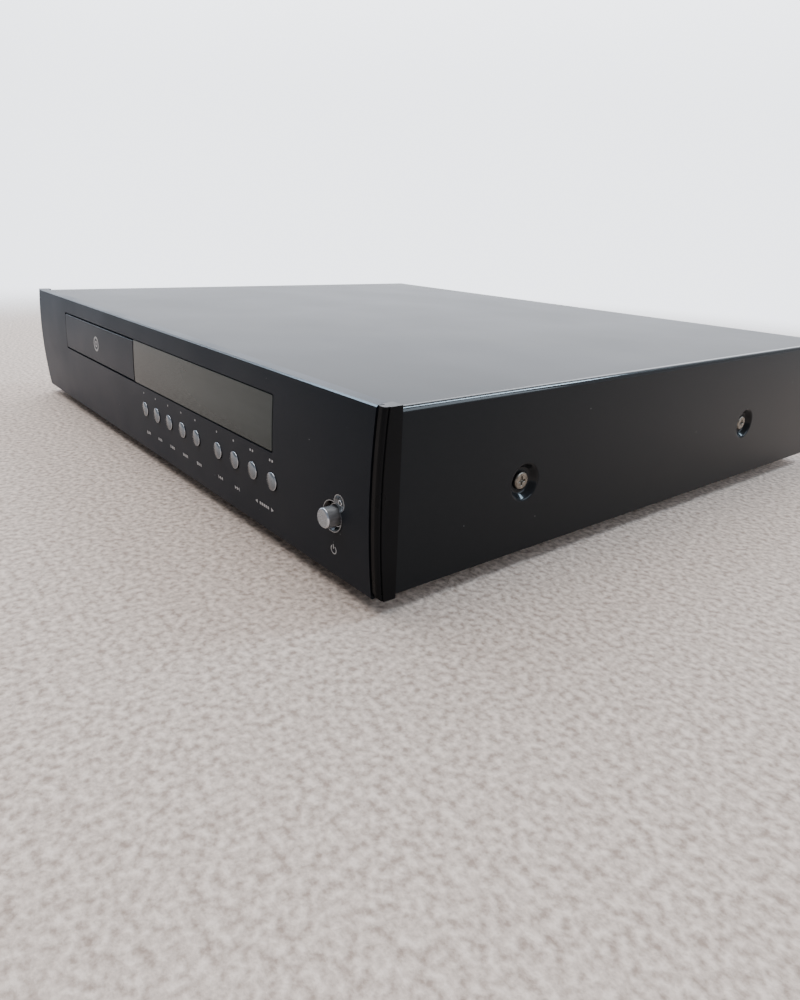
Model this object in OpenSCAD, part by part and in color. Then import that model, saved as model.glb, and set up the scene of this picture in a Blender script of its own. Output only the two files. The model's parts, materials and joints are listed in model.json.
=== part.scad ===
// A full-width disc player with a motor-driven loading tray, drawn as its separate pieces.
// Millimetres. +Z is up and the fascia faces -Y. The origin is on the floor, in the middle of
// the player's outline. The modules below are drawn with y = 0 on the fascia's front edges,
// and in_row() moves them to the part's own frame.

/* [Overall size] */
// Width over the two end cheeks
body_w = 430; // [425:1:450]
// Depth from the fascia's front edges to the back of the cover
body_d = 350; // [340:1:400]
// Height of the fascia
fascia_h = 72; // [71:0.5:84]
// Gap between the floor and the lower edge of the fascia
floor_gap = 6; // [4:0.5:12]

/* [Fascia and cheeks] */
// How far the middle of the fascia stands in front of its upper and lower edges
crown = 2; // [1:0.1:3]
// Depth of the fascia at its upper edge
fascia_t = 6; // [5:0.1:7]
// Distance from the front edges to the back face of the fascia's wall
fascia_wall = 2.5; // [2:0.1:3]
// Height of the fascia's upper and lower rims, seen from behind
fascia_rim = 3; // [2:0.1:4]
// Bevel along the fascia's upper and lower front edges
fascia_bevel = 0.6; // [0.2:0.1:1]
// Dark gap between the fascia and each cheek
end_gap = 0.6; // [0.4:0.1:2]
// Thickness of each end cheek
cheek_t = 3.5; // [2.8:0.1:4]
// Depth of each end cheek
cheek_d = 8; // [7.5:0.1:10]
// How far the cheek's front stays behind the fascia's
cheek_setback = 0.5; // [0.3:0.1:1.5]
// Rounding of the bead along the cheek's front
cheek_round = 1.4; // [1:0.1:1.5]
// Width of that bead, seen from the side
bead_w = 1.6; // [1.5:0.1:4]
// How far the bead lies inside the cheek's side plate
bead_step = 0.35; // [0.2:0.05:0.6]
// Width of the groove between the bead and the side plate
bead_groove = 0.5; // [0.3:0.1:1]
// Rounding of the cheek's lower front corner
cheek_corner = 3; // [1:0.1:5]

/* [Cover and chassis] */
// Thickness of the cover's steel sheet
cover_t = 1.2; // [1:0.1:1.5]
// Thickness of the chassis and rear panel sheet
sheet_t = 1.2; // [1:0.1:1.5]
// Outside radius of the cover's bends
cover_bend = 2.4; // [2:0.1:3.5]
// How far the cover's top lies below the top of the fascia
cover_drop = 0.8; // [0.5:0.1:1.5]
// How far the cover's sides lie inside the cheeks' outer faces
cover_inset = 0.8; // [0.4:0.1:1.2]
// Height of the side screws above the lower edge of the fascia
dish_up = 32.2; // [28:0.1:38]
// Distance of the front side screws from the fascia's front edges
dish_front = 74.2; // [65:0.1:85]
// Distance between the two screws of one side
dish_pitch = 180.5; // [160:0.5:200]
// Radius of the pressed dish at the cover's surface
dish_r = 7.7; // [7.2:0.1:10]
// Radius of the dish's flat floor
dish_floor_r = 5.6; // [5:0.1:6.5]
// Depth of the dish
dish_depth = 3; // [2.5:0.1:3.5]
// Radius of the cover screws' heads
cover_head_r = 3.9; // [3.5:0.1:4.5]
// Height of the cover screws' heads
cover_head_h = 1.4; // [1:0.1:2]
// Radius of each foot
foot_r = 23; // [18:0.5:28]
// Distance of the feet from the middle of the player
foot_x = 165; // [140:1:175]
// Distance of the front feet from the fascia's front edges
foot_front = 48; // [44:1:60]
// Distance between the front and the rear feet
foot_pitch = 255; // [230:1:260]

/* [Tray and window] */
// Half width of the opening that the tray door and the window share
open_half = 144.4; // [143:0.1:146]
// Lower edge of that opening above the lower edge of the fascia
open_low = 38; // [37.5:0.1:39]
// Height of that opening
open_h = 24.5; // [24:0.1:25.5]
// Gap beside the tray door
door_gap = 0.6; // [0.4:0.1:0.8]
// Gap below the tray door
door_low_gap = 0.9; // [0.6:0.1:1.2]
// Gap above the tray door
door_top_gap = 1; // [0.6:0.1:1.4]
// Right edge of the tray door, from the middle of the player
door_right = -13.7; // [-13.9:0.1:-13.5]
// Gap above and below the window
window_gap = 0.45; // [0.1:0.05:0.6]
// Gap at the window's right end
window_end_gap = 0.9; // [0.4:0.1:1.2]
// Radius of the disc's seat in the tray
disc_seat_r = 61; // [60.5:0.1:61.5]
// Radius of the small disc's seat
small_seat_r = 41; // [40.5:0.1:42]
// Distance of the disc's centre from the fascia's front edges, with the tray shut
disc_y = 84; // [83:0.1:85]
// How far the tray runs out
tray_travel = 148; // [140:0.5:148]
// Gap between the tray and the runners that carry it
run_gap = 0.15; // [0.1:0.05:0.3]

/* [Buttons] */
// Radius of the round buttons
button_r = 4; // [3.5:0.1:4.4]
// Clearance round each button
button_gap = 0.25; // [0.15:0.05:0.4]
// How far the buttons stand out of the fascia
button_out = 0.75; // [0.6:0.05:1.5]
// How far a button is pushed
button_travel = 0.5; // [0.3:0.05:0.6]
// Height of the button row above the lower edge of the fascia
button_up = 25.5; // [22:0.1:28]
// Distance between two neighbouring buttons
button_pitch = 17; // [15:0.1:17.5]
// Distance between the left and the right group of buttons
button_group_gap = 24; // [20:0.1:25]
// Distance of the power button from the right end of the player
power_in = 26.8; // [25:0.1:30]
// Radius of the power button
power_r = 3.95; // [3.5:0.05:4.2]
// How far the power button stands out of the fascia
power_out = 4.4; // [3.6:0.1:6]
// How far the power button is pushed
power_travel = 3; // [2:0.1:3]
// Outer radius of the bezel round the power button
bezel_r = 6.4; // [5.8:0.1:7]
// Outer radius of the bezel round the standby light
led_ring_r = 3.5; // [3:0.1:4]

/* [Loading mechanism] */
// Tooth size of the tray's gears: pitch diameter over number of teeth
tray_module = 1; // [1:0.05:1.05]
// Number of teeth of the tray gear
tray_gear_teeth = 32; // [32:2:32]
// Number of teeth of the pulley gear
pulley_teeth = 16; // [16:2:16]
// Radius of the belt's run on the large pulley
pulley_r = 12; // [10:0.5:13]
// Radius of the belt's run on the motor pulley
motor_pulley_r = 3; // [2.5:0.1:4]
// Thickness of the drive belt
belt_t = 1.2; // [1:0.1:1.6]
// Tooth size of the sled's gears
feed_module = 0.6; // [0.55:0.05:0.6]
// Number of teeth of the feed gear
feed_gear_teeth = 28; // [28:2:28]
// Number of teeth of the feed motor's pinion
feed_pinion_teeth = 14; // [14:2:14]
// Radius of the two guide rods
rod_r = 1.5; // [1.2:0.1:1.6]
// Running clearance of shafts and rods in their bores
run_fit = 0.07; // [0.05:0.01:0.1]
// Height that the turntable rises to lift a disc out of the tray
lift_h = 8; // [7.5:0.1:8.5]
// Sideways travel of the cam slider that lifts the mechanism
cam_travel = 16; // [14:0.5:18]
// Travel of the laser sled
sled_travel = 34; // [30:0.5:35]

/* [Rear sockets] */
// Radius of the phono sockets' metal collars
phono_r = 4.15; // [4.1:0.05:4.2]
// How far the phono collars stand out of the rear panel
phono_out = 9; // [8:0.1:10]
// Distance between neighbouring phono sockets
phono_pitch = 16; // [14:0.5:18]

/* [Hidden] */

$fn = 48;
eps = 0.01;
seat_gap = 0.1;          // gap between pieces that are seated on each other
half_w = body_w/2;
bottom_z = floor_gap;
top_z = bottom_z + fascia_h;
mid_z = bottom_z + fascia_h/2;
crown_r = (pow(fascia_h/2, 2) + crown*crown)/(2*crown);
fascia_half = half_w - cheek_t - end_gap;
tongue = 1.4;            // how far each cheek reaches behind the fascia's end
tongue_y = 3;
cheek_front_r = crown_r - cheek_setback;
bead_t = cheek_t - bead_step;
groove_t = bead_t - 0.5;
plate_r = cheek_front_r - bead_w - bead_groove;

// Steelwork
cover_half = half_w - cover_inset;
cover_z = bottom_z + 1.3;
cover_top = top_z - cover_drop;
dish_z = bottom_z + dish_up;
dish_ys = [dish_front, dish_front + dish_pitch];
floor_z = bottom_z + 1.5;                       // underside of the chassis floor
floor_top = floor_z + sheet_t;
chassis_half = cover_half - dish_depth - cover_t;
chassis_wall_top = dish_z + 11;
front_wall_y = 16;                              // front face of the chassis's front wall
front_wall_back = front_wall_y + sheet_t;
rear_y = body_d - cover_t;                      // outer face of the rear panel
rear_inner = rear_y - sheet_t;
rear_top = cover_top - cover_t - 0.2;
lip_h = 10;
vent_x = chassis_half - 100;
vent_z = bottom_z + 50;
lip_screw_xs = [-0.7*chassis_half, 0, 0.7*chassis_half];
screw_r = 1.5;
head_r = 2.9;
head_h = 2;
foot_ys = [foot_front, foot_front + foot_pitch];
pad_r = foot_r - 6;
pad_out = 1.2;
fascia_boss_r = 3.5;
fascia_boss_x = fascia_half - 8;
fascia_boss_zs = [bottom_z + 10, top_z - 10];

// Opening, tray door and window
open_z = bottom_z + open_low;
open_top = open_z + open_h;
door_left = -open_half + door_gap;
door_z = open_z + door_low_gap;
door_top = open_top - door_top_gap;
door_back = 3;
window_left = door_right + 0.4;
window_flange = 2;
window_flange_t = 1.5;

// Front board, buttons, power button
board_t = 1.6;
front_board_y = 11;
front_board_right = fascia_boss_x - fascia_boss_r - 0.8;
front_board_left = window_left + 7;
front_board_z = bottom_z + fascia_rim + 1.5;
front_board_top = top_z - fascia_rim - 1.5;
button_z = bottom_z + button_up;
button_xs = [for (i = [0:4]) i*button_pitch,
    for (i = [0:3]) (4 + i)*button_pitch + button_group_gap];
button_flange = 1.2;
button_dome = 26;                               // radius of the cap's slight dome
switch_size = 6;
switch_front = front_board_y - 3.6;
stem_r = 1.7;
front_post_r = 2.5;
front_posts = [[front_board_left + 6, front_board_z + 4], [button_pitch*4.7, front_board_z + 4],
    [front_board_right - 30, front_board_z + 4], [front_board_right - 6, front_board_top - 8]];
power_x = half_w - power_in;
power_z = button_z;
led_x = power_x + 4.5;
led_z = power_z + 6.5;
led_r = 1.25;
bezel_flange = 1.2;
bezel_back = fascia_wall + bezel_flange;
power_flange_y = bezel_back + 0.3;
power_stem_r = 1.9;
power_switch_y = front_wall_back;
power_switch_l = 22;
power_stem_end = power_switch_y + 5;

// Loader: heights are counted from the tray's underside
disc_x = (door_left + door_right)/2;
tray_half = (door_right - door_left)/2 - 1;
tray_z = open_z + 9;                            // underside of the tray's seat
tray_floor = 2;
tray_seat_z = tray_z + tray_floor;
tray_rim_z = tray_z + 7;
tray_skin = 2;
tray_rear = disc_y + 108;
tray_front_plate = 2;
clear_half = 25;                                // channel in the tray's rear rim, under the clamp
slot_half = 20;
slot_rear = disc_y + 57;
gear_z = tray_z - 8;                            // underside of the tray's gears and rack
gear_h = 5;
bracket_x = 38;                                 // hinge brackets, either side of the disc's middle
bracket_t = 5;
rack_clear = 4.05;
rack_x = disc_x - bracket_x - bracket_t - rack_clear;   // pitch line of the tray's rack
tray_pitch_r = tray_module*tray_gear_teeth/2;
pulley_pitch_r = tray_module*pulley_teeth/2;
tray_gear_pos = [rack_x + tray_pitch_r, disc_y - 47.5];
pulley_pos = tray_gear_pos + [tray_pitch_r + pulley_pitch_r, 0];
motor_pos = pulley_pos + [34, -3];
backlash = 0.16;
rack_rib_t = 4;
frame_half = tray_half + 0.6;
frame_wall = 3;
frame_y = front_wall_back + seat_gap;
frame_rear = tray_rear + 9;
frame_top = tray_z + 10;
frame_low = tray_z - 23;                        // lower edge of the side walls
deck_z = tray_z - 19;
deck_t = 2.5;
deck_rear = disc_y - 30;
ledge = 4.4;
post_r = 1.5;                                   // gear posts of the deck
pulley_z = deck_z + deck_t + 0.3;
pulley_h = 4;
motor_r = 12;
motor_h = 18;

// Traverse: drawn level, as it is when a disc plays, then lowered about its hinge
hinge_y = disc_y + 94;
hinge_z = tray_z - 7.5;
lift_angle = asin(lift_h/(hinge_y - disc_y));
plate_t = 3;
plate_z = hinge_z - plate_t/2;
plate_top = plate_z + plate_t;
plate_left = 40;
plate_right = 47;
plate_front = disc_y - 24;
plate_rear = hinge_y - 10;
seat_z = tray_seat_z + 2.5;                     // the turntable's disc seat, raised
turntable_r = 14;
hub_r = 7.4;
hub_h = 2.2;
shaft_r = 1;
spindle_r = 12;
spindle_z = plate_z - 6;
spindle_top = plate_top + 1;
rod_x = 22;
rod_z = plate_top + 2.5;
rod_front = disc_y + 4;
rod_rear = plate_rear - 2;
window_half = 26;
sled_y = disc_y + 24;                           // the lens at the inner end of its travel
sled_half = 17;
sled_front = 9;
sled_back = 16;
feed_pitch_r = feed_module*feed_gear_teeth/2;
feed_pinion_r = feed_module*feed_pinion_teeth/2;
feed_rack_x = 28.5;
feed_gear_pos = [feed_rack_x + feed_pitch_r, sled_y + 16];
feed_pinion_pos = feed_gear_pos + [0, feed_pitch_r + feed_pinion_r];
feed_z = plate_top + 0.5;
feed_h = 3;
hinge_pin_r = 2;
bush_r = 4.5;
cam_y = deck_rear + 0.5;
cam_t = 2;
cam_z = frame_low + 1;
cam_top = tray_z - 3;
pin_r = 1.5;
pin_xs = [-18, 34];
pin_arm = hinge_y - (cam_y + cam_t/2);
pin_low_z = hinge_z - pin_arm*sin(lift_angle);
cam_slot_gap = 0.3;

// Clamp
bridge_z = frame_top;
bridge_t = 1.5;
bridge_half = 22;
clamp_z = seat_z + 0.5;
clamp_r = 12.5;
clamp_flange_r = 16;
clamp_flange_t = 1.6;

// Boards
main_z = floor_top + 9;
main_x = [-chassis_half + 10, 30];
main_y = [frame_rear + 12, rear_inner - 4];
power_board_x = [46, chassis_half - 10];
power_board_y = [70, rear_inner - 34];
post_outer_r = 3;
socket_deep = 14;                               // how far the sockets reach in from the rear panel
chip_y = [main_y[0] + 8, rear_inner - socket_deep - 6];
main_posts = [for (x = [main_x[0] + 6, main_x[1] - 6], y = [main_y[0] + 6, main_y[1] - 6]) [x, y]];
power_posts = [for (x = [power_board_x[0] + 6, power_board_x[1] - 6],
    y = [power_board_y[0] + 6, power_board_y[1] - 6]) [x, y]];
transformer_pos = on_power_board(0.27, 0.25);
heatsink_pos = on_power_board(0.78, 0.75);
cap_sizes = [[9, 32], [6.5, 22], [11, 36], [5, 14]];     // radius and height of each kind
cap_places = [[0.18, 0.5, 0], [0.32, 0.5, 0], [0.16, 0.62, 1], [0.29, 0.62, 1], [0.41, 0.62, 1],
    [0.73, 0.14, 2], [0.57, 0.12, 3], [0.17, 0.1, 3]];

// Sockets
iec_x = chassis_half - 48;
iec_z = main_z + 22;
iec_w = 24.4;
iec_h = 16.6;
iec_deep = 16;
iec_wall = 1.6;
iec_flange = 2;
phono_wall = 0.6;
phono_bore_r = 1.6;
phono_z = main_z + 12;
phono_row2 = phono_z + 17;
phono_x = main_x[0] + 20;
phono_places = [for (i = [0:2]) [phono_x + i*phono_pitch, phono_z],
    for (i = [0:2]) [phono_x + i*phono_pitch, phono_row2]];
scart_w = 47;
scart_x = phono_x + 2*phono_pitch + phono_r + scart_w/2 + 18.35;
scart_h = 14;
scart_z = main_z + 12;
hdmi_w = 15;
hdmi_x = scart_x + scart_w/2 + hdmi_w/2 + 19;
hdmi_h = 5.6;
hdmi_z = main_z + 8;

// A place on the power board, as shares of its width and depth
function on_power_board(u, v) = [power_board_x[0] + u*(power_board_x[1] - power_board_x[0]),
    power_board_y[0] + v*(power_board_y[1] - power_board_y[0])];

// The fascia's front surface at height z
function front_at(z) = crown_r - crown - sqrt(crown_r*crown_r - pow(z - mid_z, 2));

// Half the angle of a gear tooth at radius r
function involute(rb, r) = let (a = acos(min(1, rb/r))) tan(a)*180/PI - a;
function tooth_half(m, n, r) = let (rp = m*n/2, rb = rp*cos(20))
    90/n - backlash/(4*rp)*180/PI + involute(rb, rp) - involute(rb, max(rb, r));
function flank_radii(m, n) = let (rp = m*n/2, rb = rp*cos(20), root = rp - 1.2*m, tip = rp + 0.9*m,
    low = max(rb, root)) [root, for (i = [0:3]) low + (tip - low)*i/3];
function polar(r, a) = [r*cos(a), r*sin(a)];

// The turn that puts gear 2's gap on gear 1's tooth, when gear 2 lies in direction dir from it
function mesh_turn(dir, n1, turn1, n2) = dir + 180 - 180/n2 + (dir - turn1)*n1/n2;

module in_row() translate([0, power_out - front_at(power_z) - row_d()/2, 0]) children();
function row_d() = power_out - front_at(power_z) + rear_y + phono_out;

// A box between two corners
module block(a, b) translate(a) cube(b - a);

// A round bar along Y or along X
module bar_y(x, z, y0, y1, r) translate([x, y0, z]) rotate([-90, 0, 0]) cylinder(r = r, h = y1 - y0);
module bar_x(y, z, x0, x1, r) translate([x0, y, z]) rotate([0, 90, 0]) cylinder(r = r, h = x1 - x0);
module bar_z(p, z0, z1, r) translate([p[0], p[1], z0]) cylinder(r = r, h = z1 - z0);

// A plate that stands across Y with rounded corners
module round_plate(x0, x1, y0, y1, z0, z1, r) {
    block([x0 + r, y0, z0], [x1 - r, y1, z1]);
    block([x0, y0, z0 + r], [x1, y1, z1 - r]);
    for (x = [x0 + r, x1 - r], z = [z0 + r, z1 - r]) bar_y(x, z, y0, y1, r);
}

// A slab whose front follows the fascia's crown, set forward by out
module crowned(x0, x1, z0, z1, y_back, out = 0) intersection() {
    block([x0, -crown - 5, z0], [x1, y_back, z1]);
    translate([x0 - 1, crown_r - crown, mid_z]) rotate([0, 90, 0])
        cylinder(r = crown_r + out, h = x1 - x0 + 2, $fn = 240);
}

module spur_gear(m, n, h, bore_r, turn) difference() {
    rotate([0, 0, turn]) linear_extrude(h) polygon([for (i = [0:n - 1], side = [-1, 1],
        k = [0:4]) let (radii = flank_radii(m, n), r = radii[side < 0 ? k : 4 - k])
        polar(r, i*360/n + side*tooth_half(m, n, r))]);
    translate([0, 0, -1]) cylinder(r = bore_r, h = h + 2);
}

// Rack teeth that face +X, with a tooth centred at y = 0 of the list of tooth numbers
module rack_teeth(m, h, first, last) {
    pitch = PI*m;
    half = pitch/4 - backlash/4;
    slope = tan(20)*m;
    for (i = [first:last]) translate([0, i*pitch, 0]) linear_extrude(h) polygon([
        [-1.2*m - 0.5, -half - 1.2*slope], [0.9*m, -half + 0.9*slope],
        [0.9*m, half - 0.9*slope], [-1.2*m - 0.5, half + 1.2*slope]]);
}

// A screw that points along +Y, +X, -X or down, by its head's underside
module screw(length, r = screw_r, hr = head_r, hh = head_h) {
    cylinder(r = r, h = length);
    translate([0, 0, -hh]) difference() {
        cylinder(r = hr, h = hh);
        for (a = [0, 90]) rotate([0, 0, a]) translate([-hr*0.6, -0.45, -1]) cube([hr*1.2, 0.9, 1 + hh*0.6]);
    }
}

/* ---- Outside ---- */

module fascia() color("#232325") difference() {
    union() {
        difference() {
            crowned(-fascia_half, fascia_half, bottom_z, top_z, fascia_t);
            block([-fascia_half + 5, fascia_wall, bottom_z + fascia_rim],
                [fascia_half - 5, fascia_t + 1, top_z - fascia_rim]);
        }
        for (s = [-1, 1], z = fascia_boss_zs)
            bar_y(s*fascia_boss_x, z, fascia_wall - eps, front_wall_y, fascia_boss_r);
        for (p = front_posts) bar_y(p[0], p[1], fascia_wall - eps, front_board_y, front_post_r);
    }
    for (s = [-1, 1]) translate([s*(fascia_half - tongue/2), tongue_y + 10, mid_z])
        cube([tongue + 2*seat_gap, 20, fascia_h + 2], center = true);
    for (z = [bottom_z, top_z]) translate([0, 0, z]) rotate([45, 0, 0])
        cube([body_w, fascia_bevel*sqrt(2), fascia_bevel*sqrt(2)], center = true);
    round_plate(-open_half, open_half, -crown - 2, fascia_t, open_z, open_top, 1);
    for (x = button_xs) {
        bar_y(x, button_z, -crown - 2, fascia_t, button_r + button_gap);
        translate([x, front_at(button_z) - 0.05, button_z]) rotate([-90, 0, 0])
            cylinder(r1 = button_r + button_gap + 0.35, r2 = button_r + button_gap - eps, h = 0.35);
    }
    bar_y(power_x, power_z, -crown - 2, fascia_t, bezel_r + seat_gap);
    bar_y(led_x, led_z, -crown - 2, fascia_t, led_ring_r + seat_gap);
    for (s = [-1, 1], z = fascia_boss_zs) bar_y(s*fascia_boss_x, z, front_wall_y - 8, front_wall_y + 1, screw_r);
    for (p = front_posts) bar_y(p[0], p[1], front_board_y - 6, front_board_y + 1, screw_r);
}

// The right cheek; its front follows the crown, with a rounded bead, a groove and a flat side plate
module cheek() difference() {
    union() {
        intersection() {
            block([half_w - cheek_t, -crown, bottom_z], [half_w, cheek_d, top_z]);
            translate([half_w - cheek_t, crown_r - crown, mid_z]) rotate([0, 90, 0]) rotate_extrude($fn = 240) {
                square([cheek_front_r, bead_t - cheek_round]);
                translate([cheek_front_r - bead_w, 0]) square([bead_w - cheek_round, bead_t]);
                translate([cheek_front_r - cheek_round, bead_t - cheek_round]) circle(cheek_round);
                polygon([[0, 0], [cheek_front_r - bead_w, 0], [cheek_front_r - bead_w, groove_t],
                    [plate_r, groove_t], [plate_r, cheek_t - 0.2], [plate_r - 0.2, cheek_t], [0, cheek_t]]);
            }
        }
        block([fascia_half - tongue, tongue_y + seat_gap, bottom_z], [half_w - cheek_t + eps, cheek_d, top_z]);
    }
    translate([0, cheek_setback, bottom_z]) difference() {
        block([fascia_half, -5, -1], [half_w + 1, cheek_corner, cheek_corner]);
        bar_x(cheek_corner, cheek_corner, fascia_half - 1, half_w + 2, cheek_corner);
        block([fascia_half - 1, cheek_corner, -2], [half_w + 2, cheek_corner + 1, cheek_corner + 1]);
    }
}

module cheek_right() color("#1c1c1e") cheek();
module cheek_left() color("#1c1c1e") mirror([1, 0, 0]) cheek();

// The cover's outline across the player, open at the bottom
module cover_outline(half, low, top, r) {
    translate([-half, low]) square([2*half, top - low - r]);
    translate([-half + r, low]) square([2*(half - r), top - low]);
    for (s = [-1, 1]) translate([s*(half - r), top - r]) circle(r);
}

module top_cover() color("#242426") difference() {
    union() {
        translate([0, body_d, 0]) rotate([90, 0, 0]) linear_extrude(body_d - fascia_t - seat_gap) difference() {
            cover_outline(cover_half, cover_z, cover_top, cover_bend);
            cover_outline(cover_half - cover_t, cover_z - 1, cover_top - cover_t, cover_bend - cover_t);
        }
        for (s = [-1, 1], y = dish_ys) translate([s*(cover_half - cover_t/2), y, dish_z]) rotate([0, -90*s, 0])
            cylinder(r1 = dish_r + 0.4, r2 = dish_floor_r + 0.8, h = dish_depth + cover_t/2);
        block([-chassis_half, rear_y, cover_top - lip_h], [chassis_half, body_d, cover_top - cover_t + eps]);
        for (s = [-1, 1])
            translate([s*(chassis_half + cover_half)/2, (body_d + cheek_d)/2, cover_z + cover_t/2])
                cube([cover_half - chassis_half - 2*seat_gap, body_d - cheek_d, cover_t], center = true);
    }
    for (s = [-1, 1]) translate([s*(half_w + 5), 0, mid_z])
        cube([2*(half_w + 5 - fascia_half + tongue + seat_gap), 2*(cheek_d + seat_gap), 2*fascia_h], center = true);
    for (s = [-1, 1], y = dish_ys) translate([s*(cover_half + eps), y, dish_z]) rotate([0, -90*s, 0]) {
        rotate_extrude($fn = 96) polygon([[0, -1], [dish_r + 1, -1], [dish_r + 1, 0], [dish_r + 0.45, 0.09],
            [dish_r, 0.3], [dish_r - 0.35, 0.75], [dish_floor_r + 0.4, dish_depth - 0.5],
            [dish_floor_r, dish_depth - 0.15], [dish_floor_r - 0.6, dish_depth + eps], [0, dish_depth + eps]]);
        cylinder(r = 2.1, h = dish_depth + cover_t + 1);
    }
    for (x = lip_screw_xs) bar_y(x, cover_top - lip_h/2, rear_y - 1, body_d + 1, screw_r + 0.2);
}

module floor_slots() for (x = [70:18:178], y = [100, 160, 220]) {
    block([x, y, floor_z - 1], [x + 5, y + 34, floor_top + 1]);
    for (e = [0, 34]) bar_z([x + 2.5, y + e], floor_z - 1, floor_top + 1, 2.5);
}

module chassis_base() color("#b9bbbd") difference() {
    union() {
        block([-chassis_half, cheek_d + seat_gap, floor_z], [chassis_half, rear_inner, floor_top]);
        block([tongue + seat_gap - fascia_half, fascia_t + seat_gap, floor_z],
            [fascia_half - tongue - seat_gap, cheek_d + 1, floor_top]);
        block([-chassis_half, front_wall_y, floor_z], [chassis_half, front_wall_back, cover_top - cover_t - 0.2]);
        for (s = [-1, 1]) block([s > 0 ? chassis_half - sheet_t : -chassis_half, front_wall_y, floor_z],
            [s > 0 ? chassis_half : sheet_t - chassis_half, rear_inner, chassis_wall_top]);
        for (s = [-1, 1]) block([s > 0 ? chassis_half - 10 : -chassis_half, rear_inner - sheet_t, floor_z],
            [s > 0 ? chassis_half : 10 - chassis_half, rear_inner, chassis_wall_top]);
    }
    block([disc_x - frame_half + seat_gap, front_wall_y - 1, open_z - 1],
        [disc_x + frame_half - seat_gap, front_wall_back + 1, open_top + 1]);
    block([20, front_wall_y - 1, floor_top + 8], [60, front_wall_back + 1, floor_top + 24]);
    bar_y(power_x, power_z, front_wall_y - 1, front_wall_back + 1, power_stem_r + 1);
    for (s = [-1, 1], z = fascia_boss_zs)
        bar_y(s*fascia_boss_x, z, front_wall_y - 1, front_wall_back + 1, screw_r + 0.1);
    for (s = [-1, 1], y = dish_ys) bar_x(y, dish_z, s*chassis_half - 3, s*chassis_half + 3, 2);
    for (s = [-1, 1], z = [floor_top + 8, chassis_wall_top - 6])
        bar_y(s*(chassis_half - 5), z, rear_inner - 3, rear_inner + 1, screw_r);
    floor_slots();
}

module rear_panel() color("#1e1e20") difference() {
    block([-chassis_half, rear_inner, floor_z], [chassis_half, rear_y, rear_top]);
    for (x = lip_screw_xs) bar_y(x, cover_top - lip_h/2, rear_inner - 1, rear_y + 1, screw_r);
    for (s = [-1, 1], z = [floor_top + 8, chassis_wall_top - 6])
        bar_y(s*(chassis_half - 5), z, rear_inner - 1, rear_y + 1, screw_r + 0.1);
    for (p = phono_places) bar_y(p[0], p[1], rear_inner - 1, rear_y + 1, phono_r + 0.6);
    block([iec_x - iec_w/2 - iec_wall - 0.2, rear_inner - 1, iec_z - iec_h/2 - iec_wall - 0.2],
        [iec_x + iec_w/2 + iec_wall + 0.2, rear_y + 1, iec_z + iec_h/2 + iec_wall + 0.2]);
    block([scart_x - scart_w/2 - 0.3, rear_inner - 1, scart_z - scart_h/2 - 0.3],
        [scart_x + scart_w/2 + 0.3, rear_y + 1, scart_z + scart_h/2 + 0.3]);
    block([hdmi_x - hdmi_w/2 - 0.2, rear_inner - 1, hdmi_z - hdmi_h/2 - 0.2],
        [hdmi_x + hdmi_w/2 + 0.2, rear_y + 1, hdmi_z + hdmi_h/2 + 0.2]);
    for (x = [vent_x:7:vent_x + 21], z = [vent_z:4:vent_z + 12])
        round_plate(x - 2.6, x + 2.6, rear_inner - 1, rear_y + 1, z - 1, z + 1, 0.9);
}

module cover_screws() color("#8f877c") {
    for (s = [-1, 1], y = dish_ys)
        translate([s*(cover_half - dish_depth), y, dish_z]) rotate([0, -90*s, 0]) difference() {
        union() {
            cylinder(r = 1.9, h = 8);
            translate([0, 0, -cover_head_h]) cylinder(r1 = cover_head_r - 0.5, r2 = cover_head_r, h = 0.5);
            translate([0, 0, 0.5 - cover_head_h]) cylinder(r = cover_head_r, h = cover_head_h - 0.5);
        }
        for (a = [0, 90]) rotate([0, 0, a]) translate([-1.9, -0.45, -cover_head_h - 1]) cube([3.8, 0.9, 1.9]);
    }
}

module chassis_screws() color("#6d6f72") {
    for (s = [-1, 1], z = fascia_boss_zs)
        translate([s*fascia_boss_x, front_wall_back, z]) rotate([90, 0, 0]) screw(8);
    for (p = front_posts) translate([p[0], front_board_y + board_t, p[1]]) rotate([90, 0, 0]) screw(6.5);
    for (x = lip_screw_xs) translate([x, body_d, cover_top - lip_h/2]) rotate([90, 0, 0]) screw(5);
    for (s = [-1, 1], z = [floor_top + 8, chassis_wall_top - 6])
        translate([s*(chassis_half - 5), rear_y, z]) rotate([90, 0, 0]) screw(5);
    for (p = concat(main_posts, power_posts)) translate([p[0], p[1], main_z + board_t]) rotate([180, 0, 0]) screw(6);
    for (p = frame_feet()) translate([p[0], p[1], floor_top + 3]) rotate([180, 0, 0]) screw(3);
}

module feet() color("#19191a") for (s = [-1, 1], y = foot_ys) difference() {
    translate([s*foot_x, y, pad_out]) cylinder(r1 = foot_r - 2, r2 = foot_r, h = floor_z - pad_out, $fn = 96);
    bar_z([s*foot_x, y], 0, pad_out + 1.5, pad_r + seat_gap);
}

module foot_pads() color("#2b2b2b") for (s = [-1, 1], y = foot_ys) difference() {
    bar_z([s*foot_x, y], 0, pad_out + 1.5 - seat_gap, pad_r);
    bar_z([s*foot_x, y], -1, 0.8, pad_r - 7);
}

module display_window() color("#4b4940") {
    intersection() {
        crowned(window_left, open_half - window_end_gap, open_z + window_gap, open_top - window_gap,
            fascia_wall, -0.2);
        round_plate(window_left - 5, open_half - window_end_gap, -crown - 1, fascia_wall + 1,
            open_z + window_gap, open_top - window_gap, 1);
    }
    block([window_left, fascia_wall, open_z - window_flange],
        [open_half + window_flange, fascia_wall + window_flange_t, open_top + window_flange]);
}

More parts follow.
